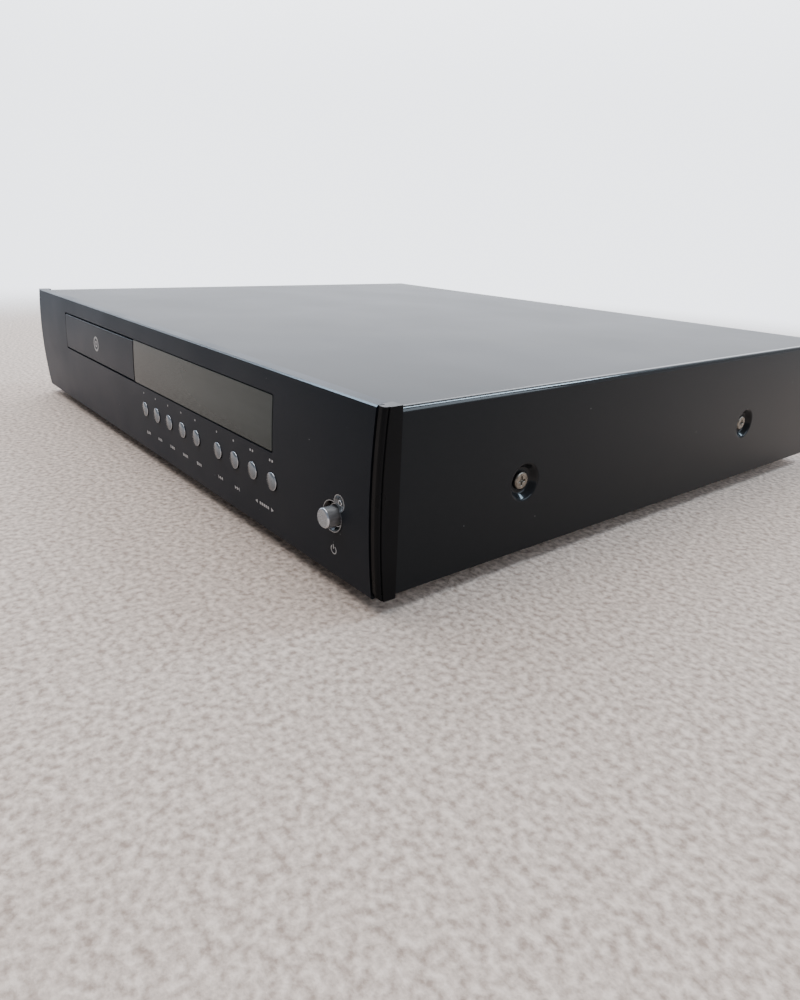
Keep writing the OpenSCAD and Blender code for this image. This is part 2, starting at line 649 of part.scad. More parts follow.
module tray_door() color("#29292b") difference() {
    crowned(door_left, door_right, door_z, door_top, door_back);
    for (z = [door_z, door_top]) translate([disc_x, front_at(z), z]) rotate([45, 0, 0])
        cube([body_w, 0.45, 0.45], center = true);
}

// A button with a domed and bevelled cap, a flange behind the fascia and a stem
module button(i) color("#a9aaac") translate([button_xs[i], 0, button_z]) rotate([-90, 0, 0]) {
    face = front_at(button_z) - button_out;
    intersection() {
        union() {
            translate([0, 0, face]) cylinder(r1 = button_r - 0.45, r2 = button_r, h = 0.45);
            translate([0, 0, face + 0.45]) cylinder(r = button_r, h = fascia_wall + 0.3 - face - 0.45);
        }
        translate([0, 0, face + button_dome]) sphere(button_dome, $fn = 240);
    }
    translate([0, 0, fascia_wall + 0.3]) cylinder(r = button_r + button_flange, h = 1);
    translate([0, 0, fascia_wall + 1.3]) cylinder(r = stem_r, h = switch_front + 0.8 - fascia_wall - 1.3);
}

module button_1() button(0);
module button_2() button(1);
module button_3() button(2);
module button_4() button(3);
module button_5() button(4);
module button_6() button(5);
module button_7() button(6);
module button_8() button(7);
module button_9() button(8);

module power_button() color("#b4b5b7") translate([power_x, 0, power_z]) rotate([-90, 0, 0]) {
    face = front_at(power_z) - power_out;
    translate([0, 0, face]) cylinder(r1 = power_r - 0.5, r2 = power_r, h = 0.5);
    translate([0, 0, face + 0.5]) cylinder(r = power_r, h = power_flange_y - face - 0.5);
    translate([0, 0, power_flange_y]) cylinder(r = power_r + 1, h = 1);
    translate([0, 0, power_flange_y + 1]) cylinder(r = power_stem_r, h = power_stem_end - power_flange_y - 1);
}

module power_bezel() color("#9c9da0") difference() {
    face = front_at(power_z) - 0.15;
    union() {
        bar_y(power_x, power_z, face, bezel_back, bezel_r);
        bar_y(led_x, led_z, face, bezel_back, led_ring_r);
        bar_y(power_x, power_z, fascia_wall, bezel_back, bezel_r + bezel_flange);
        bar_y(led_x, led_z, fascia_wall, bezel_back, led_ring_r + bezel_flange);
    }
    translate([power_x, face - eps, power_z]) rotate([-90, 0, 0])
        cylinder(r1 = bezel_r - 0.5, r2 = power_r + 0.7, h = 1.8);
    bar_y(power_x, power_z, face - 1, bezel_back + 1, power_r + 0.2);
    translate([led_x, face - eps, led_z]) rotate([-90, 0, 0])
        cylinder(r1 = led_ring_r - 0.5, r2 = led_r + 0.4, h = 1);
    bar_y(led_x, led_z, face - 1, bezel_back + 1, led_r + seat_gap);
}

module led_lens() color("#3c4a44") difference() {
    union() {
        bar_y(led_x, led_z, front_at(led_z) + 0.9, front_board_y, led_r);
        bar_y(led_x, led_z, bezel_back + seat_gap, bezel_back + 1, led_r + 0.6);
    }
}

/* ---- Front board ---- */

module front_board() color("#1f5a34") difference() {
    block([front_board_left, front_board_y, front_board_z],
        [front_board_right, front_board_y + board_t, front_board_top]);
    for (p = front_posts) bar_y(p[0], p[1], front_board_y - 1, front_board_y + 3, screw_r + 0.1);
    bar_y(power_x, power_z, front_board_y - 1, front_board_y + 3, power_r + 1.6);
}

module display_tube() color("#3a4a46") {
    x0 = window_left + 22;
    x1 = open_half - 20;
    block([x0, fascia_wall + window_flange_t + 1, open_z + 2], [x1, front_board_y, open_top - 2]);
}

module key_switches() color("#2c2c2e") for (x = button_xs) difference() {
    block([x - switch_size/2, switch_front, button_z - switch_size/2],
        [x + switch_size/2, front_board_y, button_z + switch_size/2]);
    bar_y(x, button_z, switch_front - 1, switch_front + button_travel + 1.5, stem_r + seat_gap);
}

module power_switch() color("#d8d5cc") difference() {
    union() {
        block([power_x - 7, power_switch_y, power_z - 7],
            [power_x + 7, power_switch_y + power_switch_l, power_z + 7]);
        for (x = [-4, 4]) block([power_x + x - 1, power_switch_y + power_switch_l, power_z - 3],
            [power_x + x + 1, power_switch_y + power_switch_l + 4, power_z + 3]);
    }
    bar_y(power_x, power_z, power_switch_y - 1, power_stem_end + power_travel + 1, power_stem_r + seat_gap);
}

/* ---- Loader ---- */

function frame_feet() = [for (s = [-1, 1], y = [frame_y + 6, frame_rear - 6])
    [disc_x + s*(frame_half + frame_wall + 5), y]];

module loader_frame() color("#2f3033") difference() {
    union() {
        for (s = [-1, 1]) {
            x0 = disc_x + (s > 0 ? frame_half : -frame_half - frame_wall);
            block([x0, frame_y, frame_low], [x0 + frame_wall, frame_rear, frame_top]);
            block([s > 0 ? x0 - ledge : x0, frame_y, tray_z - run_gap - 2],
                [s > 0 ? x0 + 1 : x0 + frame_wall + ledge, frame_rear, tray_z - run_gap]);
            block([s > 0 ? x0 - 3 : x0, frame_y, tray_rim_z + run_gap],
                [s > 0 ? x0 + 1 : x0 + frame_wall + 3, frame_y + 9, frame_top]);
            block([s > 0 ? x0 - 3 : x0, frame_rear - 20, tray_rim_z + run_gap],
                [s > 0 ? x0 + 1 : x0 + frame_wall + 3, frame_rear - 10, frame_top]);
        }
        block([disc_x - frame_half - 1, frame_y, deck_z], [disc_x + frame_half + 1, deck_rear, deck_z + deck_t]);
        block([disc_x - frame_half - 1, deck_rear - 3, frame_low - 4],
            [disc_x + frame_half + 1, cam_y + cam_t + 1.5, cam_z - run_gap]);
        block([disc_x - frame_half - 1, frame_rear - 6, frame_low],
            [disc_x + frame_half + 1, frame_rear, tray_z - 2.5]);
        for (s = [-1, 1]) {
            x0 = disc_x + (s > 0 ? bracket_x : -bracket_x - bracket_t);
            block([x0, hinge_y - bush_r - 2, hinge_z - bush_r - 1.5],
                [x0 + bracket_t, frame_rear - 5, hinge_z + bush_r - 0.5]);
            bar_x(hinge_y, hinge_z, x0, x0 + bracket_t, bush_r + 1.2);
        }
        for (p = [tray_gear_pos, pulley_pos]) bar_z(p, deck_z, pulley_z + pulley_h + gear_h + 2, post_r);
        bar_z(tray_gear_pos, deck_z, gear_z - 0.3, 4);
        for (p = frame_feet()) {
            inner = p[0] < disc_x ? 1 : -1;
            bar_z(p, floor_top, floor_top + 3, 4);
            block([min(p[0] - 1, p[0] + inner*6), p[1] - 4, floor_top],
                [max(p[0] + 1, p[0] + inner*6), p[1] + 4, floor_top + 3]);
            block([p[0] + inner*5 - 1.5, p[1] - 4, floor_top], [p[0] + inner*5 + 1.5, p[1] + 4, frame_low + 5]);
        }
    }
    for (s = [-1, 1]) bar_x(hinge_y, hinge_z, disc_x + s*(bracket_x + bracket_t/2) - 4,
        disc_x + s*(bracket_x + bracket_t/2) + 4, bush_r);
    bar_z(motor_pos, deck_z - 1, deck_z + deck_t + 1, motor_pulley_r + 1.5);
    for (p = frame_feet()) bar_z(p, floor_top - 1, floor_top + 4, screw_r + 0.1);
}

module disc_tray() color("#232426") difference() {
    union() {
        difference() {
            block([disc_x - tray_half, door_back, tray_z], [disc_x + tray_half, tray_rear, tray_rim_z]);
            difference() {
                block([disc_x - tray_half + tray_skin, door_back + tray_skin, tray_z - 1],
                    [disc_x + tray_half - tray_skin, tray_rear - tray_skin, tray_rim_z - tray_skin]);
                bar_z([disc_x, disc_y], tray_z - 2, tray_rim_z, disc_seat_r + tray_skin);
                block([disc_x - clear_half - tray_skin, disc_y, tray_z - 2],
                    [disc_x + clear_half + tray_skin, tray_rear, tray_rim_z]);
            }
        }
        block([disc_x - tray_half + 1, door_back, door_z + 1],
            [disc_x + tray_half - 1, door_back + tray_front_plate, door_top - 1]);
        block([rack_x - 1.2*tray_module - rack_rib_t, disc_y - 54, gear_z],
            [rack_x - 1.2*tray_module, tray_rear - 1, tray_rim_z - 1]);
        translate([rack_x, tray_gear_pos[1], gear_z]) rack_teeth(tray_module, gear_h, -2, tray_rack_last());
    }
    translate([disc_x, disc_y, tray_seat_z]) cylinder(r = disc_seat_r, h = 20, $fn = 120);
    translate([disc_x, disc_y, tray_seat_z - 0.8]) cylinder(r = small_seat_r, h = 20, $fn = 120);
    block([disc_x - clear_half, disc_y, tray_seat_z], [disc_x + clear_half, tray_rear + 1, tray_rim_z + 1]);
    bar_z([disc_x, disc_y], tray_z - 1, tray_rim_z, slot_half);
    block([disc_x - slot_half, disc_y, tray_z - 1], [disc_x + slot_half, slot_rear, tray_rim_z]);
    for (s = [-1, 1]) bar_z([disc_x + s*disc_seat_r, disc_y], tray_seat_z, tray_rim_z + 1, 9);
}

// The rack's last tooth: as far back as the travel needs and the tray allows
function tray_rack_last() = min(floor((tray_rear - 1 - tray_gear_pos[1])/(PI*tray_module)),
    ceil(tray_travel/(PI*tray_module)) + 1);

module tray_gear() color("#e3e0d6") translate([tray_gear_pos[0], tray_gear_pos[1], gear_z])
    spur_gear(tray_module, tray_gear_teeth, gear_h - 1, post_r + run_fit, 180/tray_gear_teeth);

module pulley_gear() color("#dcd9cf") translate([pulley_pos[0], pulley_pos[1], pulley_z]) {
    difference() {
        rotate_extrude() polygon([[post_r + run_fit, 0], [pulley_r + 2, 0], [pulley_r, 1.2],
            [pulley_r, pulley_h - 1.2], [pulley_r + 2, pulley_h], [post_r + run_fit, pulley_h]]);
    }
    difference() {
        translate([0, 0, pulley_h - eps])
            cylinder(r = pulley_pitch_r - 1.2*tray_module, h = gear_z - pulley_z - pulley_h + 2*eps);
        cylinder(r = post_r + run_fit, h = 40);
    }
    translate([0, 0, gear_z - pulley_z]) spur_gear(tray_module, pulley_teeth, gear_h - 1, post_r + run_fit,
        mesh_turn(0, tray_gear_teeth, 180/tray_gear_teeth, pulley_teeth));
}

module loading_motor() color("#a7a9ab") difference() {
    union() {
        bar_z(motor_pos, deck_z - motor_h, deck_z - 0.8, motor_r);
        bar_z(motor_pos, deck_z - 1, deck_z, 3.5);
        bar_z(motor_pos, deck_z - motor_h - 1.5, deck_z - motor_h + eps, 3);
    }
    bar_z(motor_pos, deck_z - 10, deck_z + 1, shaft_r + run_fit);
}

module motor_pulley() color("#c9b98c") translate([motor_pos[0], motor_pos[1], pulley_z]) {
    rotate_extrude() polygon([[0, 0], [motor_pulley_r + 1.2, 0], [motor_pulley_r, 1.2],
        [motor_pulley_r, pulley_h - 1.2], [motor_pulley_r + 1.2, pulley_h], [0, pulley_h]]);
    translate([0, 0, deck_z - 9 - pulley_z]) cylinder(r = shaft_r, h = pulley_z - deck_z + 9 + eps);
}

// The belt's outline: two arcs and the two straight runs that touch them
module belt_outline(grow) {
    run = norm(motor_pos - pulley_pos);
    big = pulley_r + grow;
    small = motor_pulley_r + grow;
    lean = asin((big - small)/run);
    dir = atan2(motor_pos[1] - pulley_pos[1], motor_pos[0] - pulley_pos[0]);
    translate(pulley_pos) rotate(dir) {
        circle(big);
        translate([run, 0]) circle(small);
        polygon([polar(big, 90 - lean), polar(big, lean - 90),
            [run, 0] + polar(small, lean - 90), [run, 0] + polar(small, 90 - lean)]);
    }
}

module drive_belt() color("#141414") translate([0, 0, pulley_z + 1.4]) linear_extrude(pulley_h - 2.8) difference() {
    belt_outline(0.06 + belt_t);
    belt_outline(0.06);
}

module clamp_bridge() color("#9a9c9f") difference() {
    union() {
        block([disc_x - frame_half - frame_wall, disc_y - bridge_half, bridge_z],
            [disc_x + frame_half + frame_wall, disc_y + bridge_half, bridge_z + bridge_t]);
        for (s = [-1, 1]) {
            x0 = disc_x + (s > 0 ? frame_half + frame_wall : -frame_half - frame_wall - bridge_t);
            block([x0, disc_y - bridge_half, bridge_z - 8],
                [x0 + bridge_t, disc_y + bridge_half, bridge_z + bridge_t]);
        }
        for (y = [-1, 1]) block([disc_x - 50, disc_y + y*bridge_half - (y > 0 ? bridge_t : 0), bridge_z],
            [disc_x + 50, disc_y + y*bridge_half + (y > 0 ? 0 : bridge_t), bridge_z + 4]);
    }
    bar_z([disc_x, disc_y], bridge_z - 1, bridge_z + 5, clamp_r + 1.2);
}

module clamp_puck() color("#e6e4dc") translate([disc_x, disc_y, 0]) difference() {
    union() {
        translate([0, 0, clamp_z]) cylinder(r = clamp_r, h = bridge_z + bridge_t + seat_gap - clamp_z + eps);
        translate([0, 0, bridge_z + bridge_t + seat_gap]) cylinder(r = clamp_flange_r, h = clamp_flange_t);
    }
    translate([0, 0, clamp_z - 1]) cylinder(r = hub_r + 0.8, h = hub_h + 1.6);
    translate([0, 0, clamp_z + hub_h + 2]) difference() {
        cylinder(r = clamp_r - 2, h = 20);
        cylinder(r = 3, h = 20);
    }
}

// Moves a level piece of the traverse to its lowered place, and centres it on the disc
module lowered() translate([disc_x, hinge_y, hinge_z]) rotate([lift_angle, 0, 0])
    translate([0, -hinge_y, -hinge_z]) children();

module traverse() color("#3a3c40") lowered() difference() {
    union() {
        block([-plate_left, plate_front, plate_z], [plate_right, plate_rear, plate_top]);
        block([-36, plate_rear - 1, plate_z], [36, hinge_y + 2, plate_top]);
        for (s = [-1, 1]) bar_x(hinge_y, hinge_z, s > 0 ? 34 : -bracket_x - bracket_t,
            s > 0 ? bracket_x + bracket_t : -34, hinge_pin_r);
        for (x = pin_xs) bar_y(x, hinge_z, cam_y - 0.6, plate_front + 1, pin_r);
        for (s = [-1, 1], y = [rod_front, rod_rear - 5])
            block([s*rod_x - 2.8, y, plate_top - eps], [s*rod_x + 2.8, y + 5, rod_z + rod_r + 1]);
        bar_z(feed_gear_pos, plate_top - eps, feed_z + feed_h + 1, post_r);
        block([-plate_left, plate_front, plate_z - 4], [-plate_left + 2, plate_rear, plate_z + eps]);
        block([plate_right - 2, plate_front, plate_z - 4], [plate_right, plate_rear, plate_z + eps]);
    }
    bar_z([0, disc_y], plate_z - 1, plate_top + 1, spindle_r + seat_gap);
    block([-window_half, disc_y + 13, plate_z - 1], [window_half, plate_rear - 8, plate_top + 1]);
    for (s = [-1, 1]) bar_y(s*rod_x, rod_z, rod_front - 1, rod_rear + 1, rod_r);
    bar_z(feed_pinion_pos, plate_z - 1, plate_top + 1, 2.5);
}

module spindle_motor() color("#b7b9bb") lowered() difference() {
    union() {
        bar_z([0, disc_y], spindle_z, spindle_top, spindle_r);
        bar_z([0, disc_y], spindle_z, plate_z, spindle_r + 1.4);
    }
    bar_z([0, disc_y], spindle_z + 1, spindle_top + 1, shaft_r + run_fit);
}

module turntable() color("#26272a") lowered() translate([0, disc_y, 0]) {
    rotate_extrude() polygon([[0, spindle_top + 0.3], [5, spindle_top + 0.3], [5, seat_z - 2.5],
        [turntable_r, seat_z - 2.5], [turntable_r, seat_z], [hub_r, seat_z], [hub_r, seat_z + 0.8],
        [hub_r - 2, seat_z + hub_h], [0, seat_z + hub_h]]);
    translate([0, 0, spindle_z + 1.3]) cylinder(r = shaft_r, h = spindle_top - spindle_z);
}

module laser_sled() color("#7d7f83") lowered() difference() {
    union() {
        block([-sled_half, sled_y - sled_front, plate_z - 2], [sled_half, sled_y + sled_back, plate_top + 3]);
        for (s = [-1, 1]) bar_y(s*rod_x, rod_z, sled_y - sled_front + 2, sled_y + sled_back, rod_r + 1.6);
        for (s = [-1, 1]) block([s > 0 ? sled_half - 1 : -rod_x, sled_y - sled_front + 2, plate_top + 0.5],
            [s > 0 ? rod_x : 1 - sled_half, sled_y + sled_back, plate_top + 3]);
        block([-8, sled_y - 8, plate_top + 2], [8, sled_y + 8, seat_z - 4]);
        bar_z([0, sled_y], seat_z - 5, seat_z - 2.5, 3);
        block([rod_x - 0.5, sled_y - sled_front + 2, feed_z],
            [feed_rack_x - 1.2*feed_module, sled_y + sled_back, feed_z + feed_h - 0.5]);
        block([feed_rack_x - 1.2*feed_module - 2, feed_rack_start(), feed_z],
            [feed_rack_x - 1.2*feed_module, feed_gear_pos[1] + 5, feed_z + feed_h - 0.5]);
        translate([feed_rack_x, feed_gear_pos[1], feed_z]) rack_teeth(feed_module, feed_h - 0.5,
            -ceil(sled_travel/(PI*feed_module)) - 1, 2);
    }
    for (s = [-1, 1]) bar_y(s*rod_x, rod_z, sled_y - 30, sled_y + 30, rod_r + run_fit);
}

function feed_rack_start() = feed_gear_pos[1] - sled_travel - 2*PI*feed_module;

module guide_rods() color("#c4c6c8") lowered()
    for (s = [-1, 1]) bar_y(s*rod_x, rod_z, rod_front + 0.5, rod_rear - 0.5, rod_r);

module feed_gear() color("#e3e0d6") lowered() translate([feed_gear_pos[0], feed_gear_pos[1], feed_z])
    spur_gear(feed_module, feed_gear_teeth, feed_h - 0.5, post_r + run_fit, 180/feed_gear_teeth);

module feed_motor() color("#a7a9ab") lowered() difference() {
    union() {
        bar_z(feed_pinion_pos, plate_z - 14, plate_z, 6);
        bar_z(feed_pinion_pos, plate_z - eps, plate_z + 1, 2.2);
    }
    bar_z(feed_pinion_pos, plate_z - 8, plate_z + 2, 0.75 + run_fit);
}

module feed_pinion() color("#c9b98c") lowered() translate([feed_pinion_pos[0], feed_pinion_pos[1], 0]) {
    translate([0, 0, feed_z]) spur_gear(feed_module, feed_pinion_teeth, feed_h - 0.5, 0.6,
        mesh_turn(90, feed_gear_teeth, 180/feed_gear_teeth, feed_pinion_teeth));
    translate([0, 0, plate_z - 7]) cylinder(r = 0.75, h = feed_z + feed_h - plate_z + 7);
}

module cam_slider() color("#d9d6cc") difference() {
    block([disc_x + pin_xs[0] - cam_travel - 5, cam_y, cam_z], [disc_x + pin_xs[1] + 7, cam_y + cam_t, cam_top]);
    slope = atan2(hinge_z - pin_low_z, cam_travel);
    slot_l = norm([cam_travel, hinge_z - pin_low_z]);
    for (x = pin_xs) translate([disc_x + x, cam_y - 1, pin_low_z]) rotate([0, slope, 0]) {
        translate([-slot_l, 0, -pin_r - cam_slot_gap]) cube([slot_l, cam_t + 2, 2*(pin_r + cam_slot_gap)]);
        for (d = [0, -slot_l]) bar_y(d, 0, 0, cam_t + 2, pin_r + cam_slot_gap);
    }
}

module hinge_bushes() color("#1b1b1b") for (s = [-1, 1]) difference() {
    x0 = disc_x + (s > 0 ? bracket_x : -bracket_x - bracket_t);
    bar_x(hinge_y, hinge_z, x0, x0 + bracket_t, bush_r);
    bar_x(hinge_y, hinge_z, x0 - 1, x0 + bracket_t + 1, hinge_pin_r + run_fit);
}

/* ---- Boards ---- */

module main_board() color("#1d6038") {
    difference() {
        block([main_x[0], main_y[0], main_z], [main_x[1], main_y[1], main_z + board_t]);
        for (p = main_posts) bar_z(p, main_z - 1, main_z + 3, screw_r + 0.1);
    }
    for (c = [[0.3, 0.8, 28, 3], [0.49, 0.74, 20, 2.4], [0.65, 0.74, 22, 2.4], [0.3, 0.15, 16, 2],
        [0.49, 0.15, 12, 2]]) {
        at = [main_x[0] + c[0]*(main_x[1] - main_x[0]), chip_y[0] + c[1]*(chip_y[1] - chip_y[0] - c[2]),
            main_z + board_t];
        block(at, at + [c[2], c[2], c[3]]);
    }
}

module power_board() color("#7a5a34") difference() {
    block([power_board_x[0], power_board_y[0], main_z], [power_board_x[1], power_board_y[1], main_z + board_t]);
    for (p = power_posts) bar_z(p, main_z - 1, main_z + 3, screw_r + 0.1);
}

module transformer() color("#c8a23c") translate([transformer_pos[0], transformer_pos[1], main_z + board_t]) {
    block([-20, -9, 4], [20, 9, 32]);
    difference() {
        block([-23, -16, 0], [23, 16, 30]);
        block([-21, -9 - seat_gap, -1], [21, 9 + seat_gap, 31]);
    }
}

module heatsink() color("#8d9093") translate([heatsink_pos[0], heatsink_pos[1], main_z + board_t]) {
    block([-1.5, -24, 0], [1.5, 24, 34]);
    for (i = [0:8]) block([-12, -24 + i*5.8, 0], [12, -22.4 + i*5.8, 34]);
}

module capacitors() color("#22252c") for (c = cap_places) let (size = cap_sizes[c[2]])
    bar_z(on_power_board(c[0], c[1]), main_z + board_t, main_z + board_t + size[1], size[0]);

module board_posts() color("#c2c4c6") for (p = concat(main_posts, power_posts)) difference() {
    bar_z(p, floor_top, main_z, post_outer_r);
    bar_z(p, main_z - 7, main_z + 1, screw_r);
}

module flat_cables() color("#d9dadc") {
    for (x = [disc_x - 14, disc_x + 22]) {
        block([x, frame_rear - 1 + 1.5, main_z - 6], [x + 26, main_y[0] + 12, main_z - 5.4]);
        block([x, main_y[0] + 11.4, main_z - 6], [x + 26, main_y[0] + 12, main_z]);
        block([x, frame_rear + 0.5, main_z - 6], [x + 26, frame_rear + 1.1, tray_z - 6]);
    }
}

/* ---- Rear sockets ---- */

module iec_inlet() color("#1a1a1b") difference() {
    union() {
        block([iec_x - iec_w/2 - iec_wall, rear_y - iec_deep - 3, iec_z - iec_h/2 - iec_wall],
            [iec_x + iec_w/2 + iec_wall, rear_y + iec_flange, iec_z + iec_h/2 + iec_wall]);
        round_plate(iec_x - iec_w/2 - 4, iec_x + iec_w/2 + 4, rear_y, rear_y + iec_flange,
            iec_z - iec_h/2 - 4, iec_z + iec_h/2 + 4, 3);
    }
    block([iec_x - iec_w/2, rear_y - iec_deep, iec_z - iec_h/2],
        [iec_x + iec_w/2, rear_y + iec_flange + 1, iec_z + iec_h/2]);
    for (p = iec_pin_places()) block([p[0] - 1 - 0.02, rear_y - iec_deep - 4, p[1] - 2 - 0.02],
        [p[0] + 1 + 0.02, rear_y - iec_deep + 1, p[1] + 2 + 0.02]);
}

function iec_pin_places() = [[iec_x - 7, iec_z - 2], [iec_x + 7, iec_z - 2], [iec_x, iec_z + 2]];

module iec_pins() color("#c9cbcd") for (p = iec_pin_places())
    block([p[0] - 1, rear_y - iec_deep - 9, p[1] - 2], [p[0] + 1, rear_y + iec_flange - 5, p[1] + 2]);

module phono_sockets() color("#c9a95a") for (p = phono_places) difference() {
    union() {
        bar_y(p[0], p[1], rear_inner, rear_y + phono_out, phono_r);
        bar_y(p[0], p[1], rear_y, rear_y + 1.2, phono_r + 1.8);
    }
    bar_y(p[0], p[1], rear_inner - 1, rear_y + phono_out + 1, phono_r - phono_wall);
}

module phono_inserts() color("#d04a3c") for (p = phono_places) difference() {
    lower = p[1] == phono_z;
    union() {
        bar_y(p[0], p[1], rear_inner - eps, rear_y + phono_out - 0.5, phono_r - phono_wall);
        block([p[0] - 6, rear_inner - 10, lower ? main_z + board_t : phono_z + 6], [p[0] + 6, rear_inner, p[1] + 6]);
    }
    bar_y(p[0], p[1], rear_y - 1, rear_y + phono_out + 1, phono_bore_r);
}

module scart_socket() color("#1b1b1c") difference() {
    union() {
        block([scart_x - scart_w/2, rear_y - socket_deep, main_z + board_t],
            [scart_x + scart_w/2, rear_inner, scart_z + scart_h/2]);
        block([scart_x - scart_w/2, rear_y - 4, scart_z - scart_h/2],
            [scart_x + scart_w/2, rear_y + 1, scart_z + scart_h/2]);
    }
    difference() {
        block([scart_x - scart_w/2 + 1.2, rear_y - 8, scart_z - scart_h/2 + 1.2],
            [scart_x + scart_w/2 - 1.2, rear_y + 2, scart_z + scart_h/2 - 1.2]);
        block([scart_x - scart_w/2 + 3, rear_y - 9, scart_z - scart_h/2 + 3],
            [scart_x + scart_w/2 - 3, rear_y + 3, scart_z + scart_h/2 - 3]);
    }
    for (i = [0:9], z = [-1.8, 1.8])
        translate([scart_x + (i - 4.5)*3.8 + (z > 0 ? 1 : -1)*0.6, rear_y - 3, scart_z + z])
        cube([0.8, 10, 1.6], center = true);
}

module hdmi_socket() color("#a9abad") difference() {
    union() {
        block([hdmi_x - hdmi_w/2, rear_y - 12, main_z + board_t], [hdmi_x + hdmi_w/2, rear_inner, hdmi_z + hdmi_h/2]);
        block([hdmi_x - hdmi_w/2, rear_y - 4, hdmi_z - hdmi_h/2],
            [hdmi_x + hdmi_w/2, rear_y + 0.8, hdmi_z + hdmi_h/2]);
    }
    difference() {
        block([hdmi_x - hdmi_w/2 + 0.5, rear_y - 9, hdmi_z - hdmi_h/2 + 0.5],
            [hdmi_x + hdmi_w/2 - 0.5, rear_y + 2, hdmi_z + hdmi_h/2 - 0.5]);
        block([hdmi_x - hdmi_w/2 + 1.6, rear_y - 10, hdmi_z - 0.9],
            [hdmi_x + hdmi_w/2 - 1.6, rear_y - 1, hdmi_z + 0.4]);
    }
}

in_row() fascia();
in_row() cheek_left();
in_row() cheek_right();
in_row() top_cover();
in_row() chassis_base();
in_row() rear_panel();
in_row() cover_screws();
in_row() chassis_screws();
in_row() feet();
in_row() foot_pads();
in_row() display_window();
in_row() tray_door();
in_row() button_1();
in_row() button_2();
in_row() button_3();
in_row() button_4();
in_row() button_5();
in_row() button_6();
in_row() button_7();
in_row() button_8();
in_row() button_9();
in_row() power_button();
in_row() power_bezel();
in_row() led_lens();
in_row() front_board();
in_row() display_tube();
in_row() key_switches();
in_row() power_switch();
in_row() main_board();
in_row() power_board();
in_row() transformer();
in_row() heatsink();
in_row() capacitors();
in_row() board_posts();
in_row() flat_cables();
in_row() loader_frame();
in_row() disc_tray();
in_row() tray_gear();
in_row() pulley_gear();
in_row() loading_motor();
in_row() motor_pulley();
in_row() drive_belt();
in_row() clamp_bridge();
in_row() clamp_puck();
in_row() traverse();
in_row() spindle_motor();
in_row() turntable();
in_row() laser_sled();
in_row() guide_rods();
in_row() feed_gear();
in_row() feed_motor();
in_row() feed_pinion();
in_row() cam_slider();
in_row() hinge_bushes();
in_row() iec_inlet();
in_row() iec_pins();
in_row() phono_sockets();
in_row() phono_inserts();
in_row() scart_socket();
in_row() hdmi_socket();
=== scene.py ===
"""The looks of a full-width disc player with a loading tray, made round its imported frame."""
import json
import math

import bpy
from mathutils import Matrix, Vector


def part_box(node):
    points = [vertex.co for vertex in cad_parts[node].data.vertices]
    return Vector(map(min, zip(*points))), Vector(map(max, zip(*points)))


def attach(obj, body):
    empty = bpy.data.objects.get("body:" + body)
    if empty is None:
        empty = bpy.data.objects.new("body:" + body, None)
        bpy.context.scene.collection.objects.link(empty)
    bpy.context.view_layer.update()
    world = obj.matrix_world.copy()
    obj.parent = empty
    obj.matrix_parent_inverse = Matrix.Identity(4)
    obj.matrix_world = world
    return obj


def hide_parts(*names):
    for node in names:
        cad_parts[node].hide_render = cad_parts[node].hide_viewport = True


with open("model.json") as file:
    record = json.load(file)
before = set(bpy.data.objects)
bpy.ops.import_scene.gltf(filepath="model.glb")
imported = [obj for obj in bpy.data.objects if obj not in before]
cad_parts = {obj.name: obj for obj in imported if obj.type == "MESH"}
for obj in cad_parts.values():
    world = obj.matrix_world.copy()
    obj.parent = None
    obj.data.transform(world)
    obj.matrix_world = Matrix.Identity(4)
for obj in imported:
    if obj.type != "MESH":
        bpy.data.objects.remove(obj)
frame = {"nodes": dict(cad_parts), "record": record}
nodes = frame["nodes"]
body_of_node = {node: body
                for body, members in frame["record"]["behaviour"]["bodies"].items()
                for node in members}
slot_of_node = {part["node"]: part["material_slot"] for part in frame["record"]["subparts"]}
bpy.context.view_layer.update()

MM = 0.001
CROWN = 2 * MM  # how far the middle of the fascia stands in front of its edges

# The camera, in the part's frame: where it stands and the way that it looks
CAMERA_PLACE = Vector((392.69, -314.50, 132.90)) * MM
CAMERA_RIGHT = Vector((0.62497, 0.77962, 0.04008))
CAMERA_UP = Vector((-0.30306, 0.19498, 0.93281))
FOCAL_PIXELS = 713.4
PICTURE_HEIGHT = 1000
SENSOR = 36.0

# Brightness of the room: away from the wall, on the ground, on the wall, and how many times
# brighter the wall is high up
ROOM_LIGHT = 0.33
GROUND_LIGHT = 0.72
WALL_LIGHT = 3.3
WALL_RISE = 1.5
ROOM_TINT = (0.935, 0.97, 1.04, 1)
# The way to the wall, and where each part of the room passes softly into the next: the wall by
# how well a way agrees with it, the ground and the wall's rise by how steeply a way goes up
WALL_WAY = (-0.76, 0.65, 0.0)
WALL_EDGE = (0.5, 0.92)
GROUND_EDGE = (-0.05, 0.12)
RISE_EDGE = (0.12, 0.5)

# The lights: name, place, the point faced, width and length, watts and tint
LIGHTS = (
    ("ceiling_panel", (-0.2, -0.6, 2.7), (0, -0.1, 0), (2.4, 2.4), 62, (1.0, 0.96, 0.92)),
    ("floor_panel", (-0.80, -0.20, 0.95), (-0.80, -0.20, 0), (0.9, 0.9), 12, (0.74, 0.87, 1.0)),
    ("side_panel", (1.70, 0.90, 0.90), (0.3, 0, 0), (1.4, 1.0), 14, (0.76, 0.88, 1.0)),
    ("window_light", (0.74, 1.67, 1.87), (0.2, -0.1, 0.05), (0.45, 1.1), 34, (0.66, 0.84, 1.0)),
)

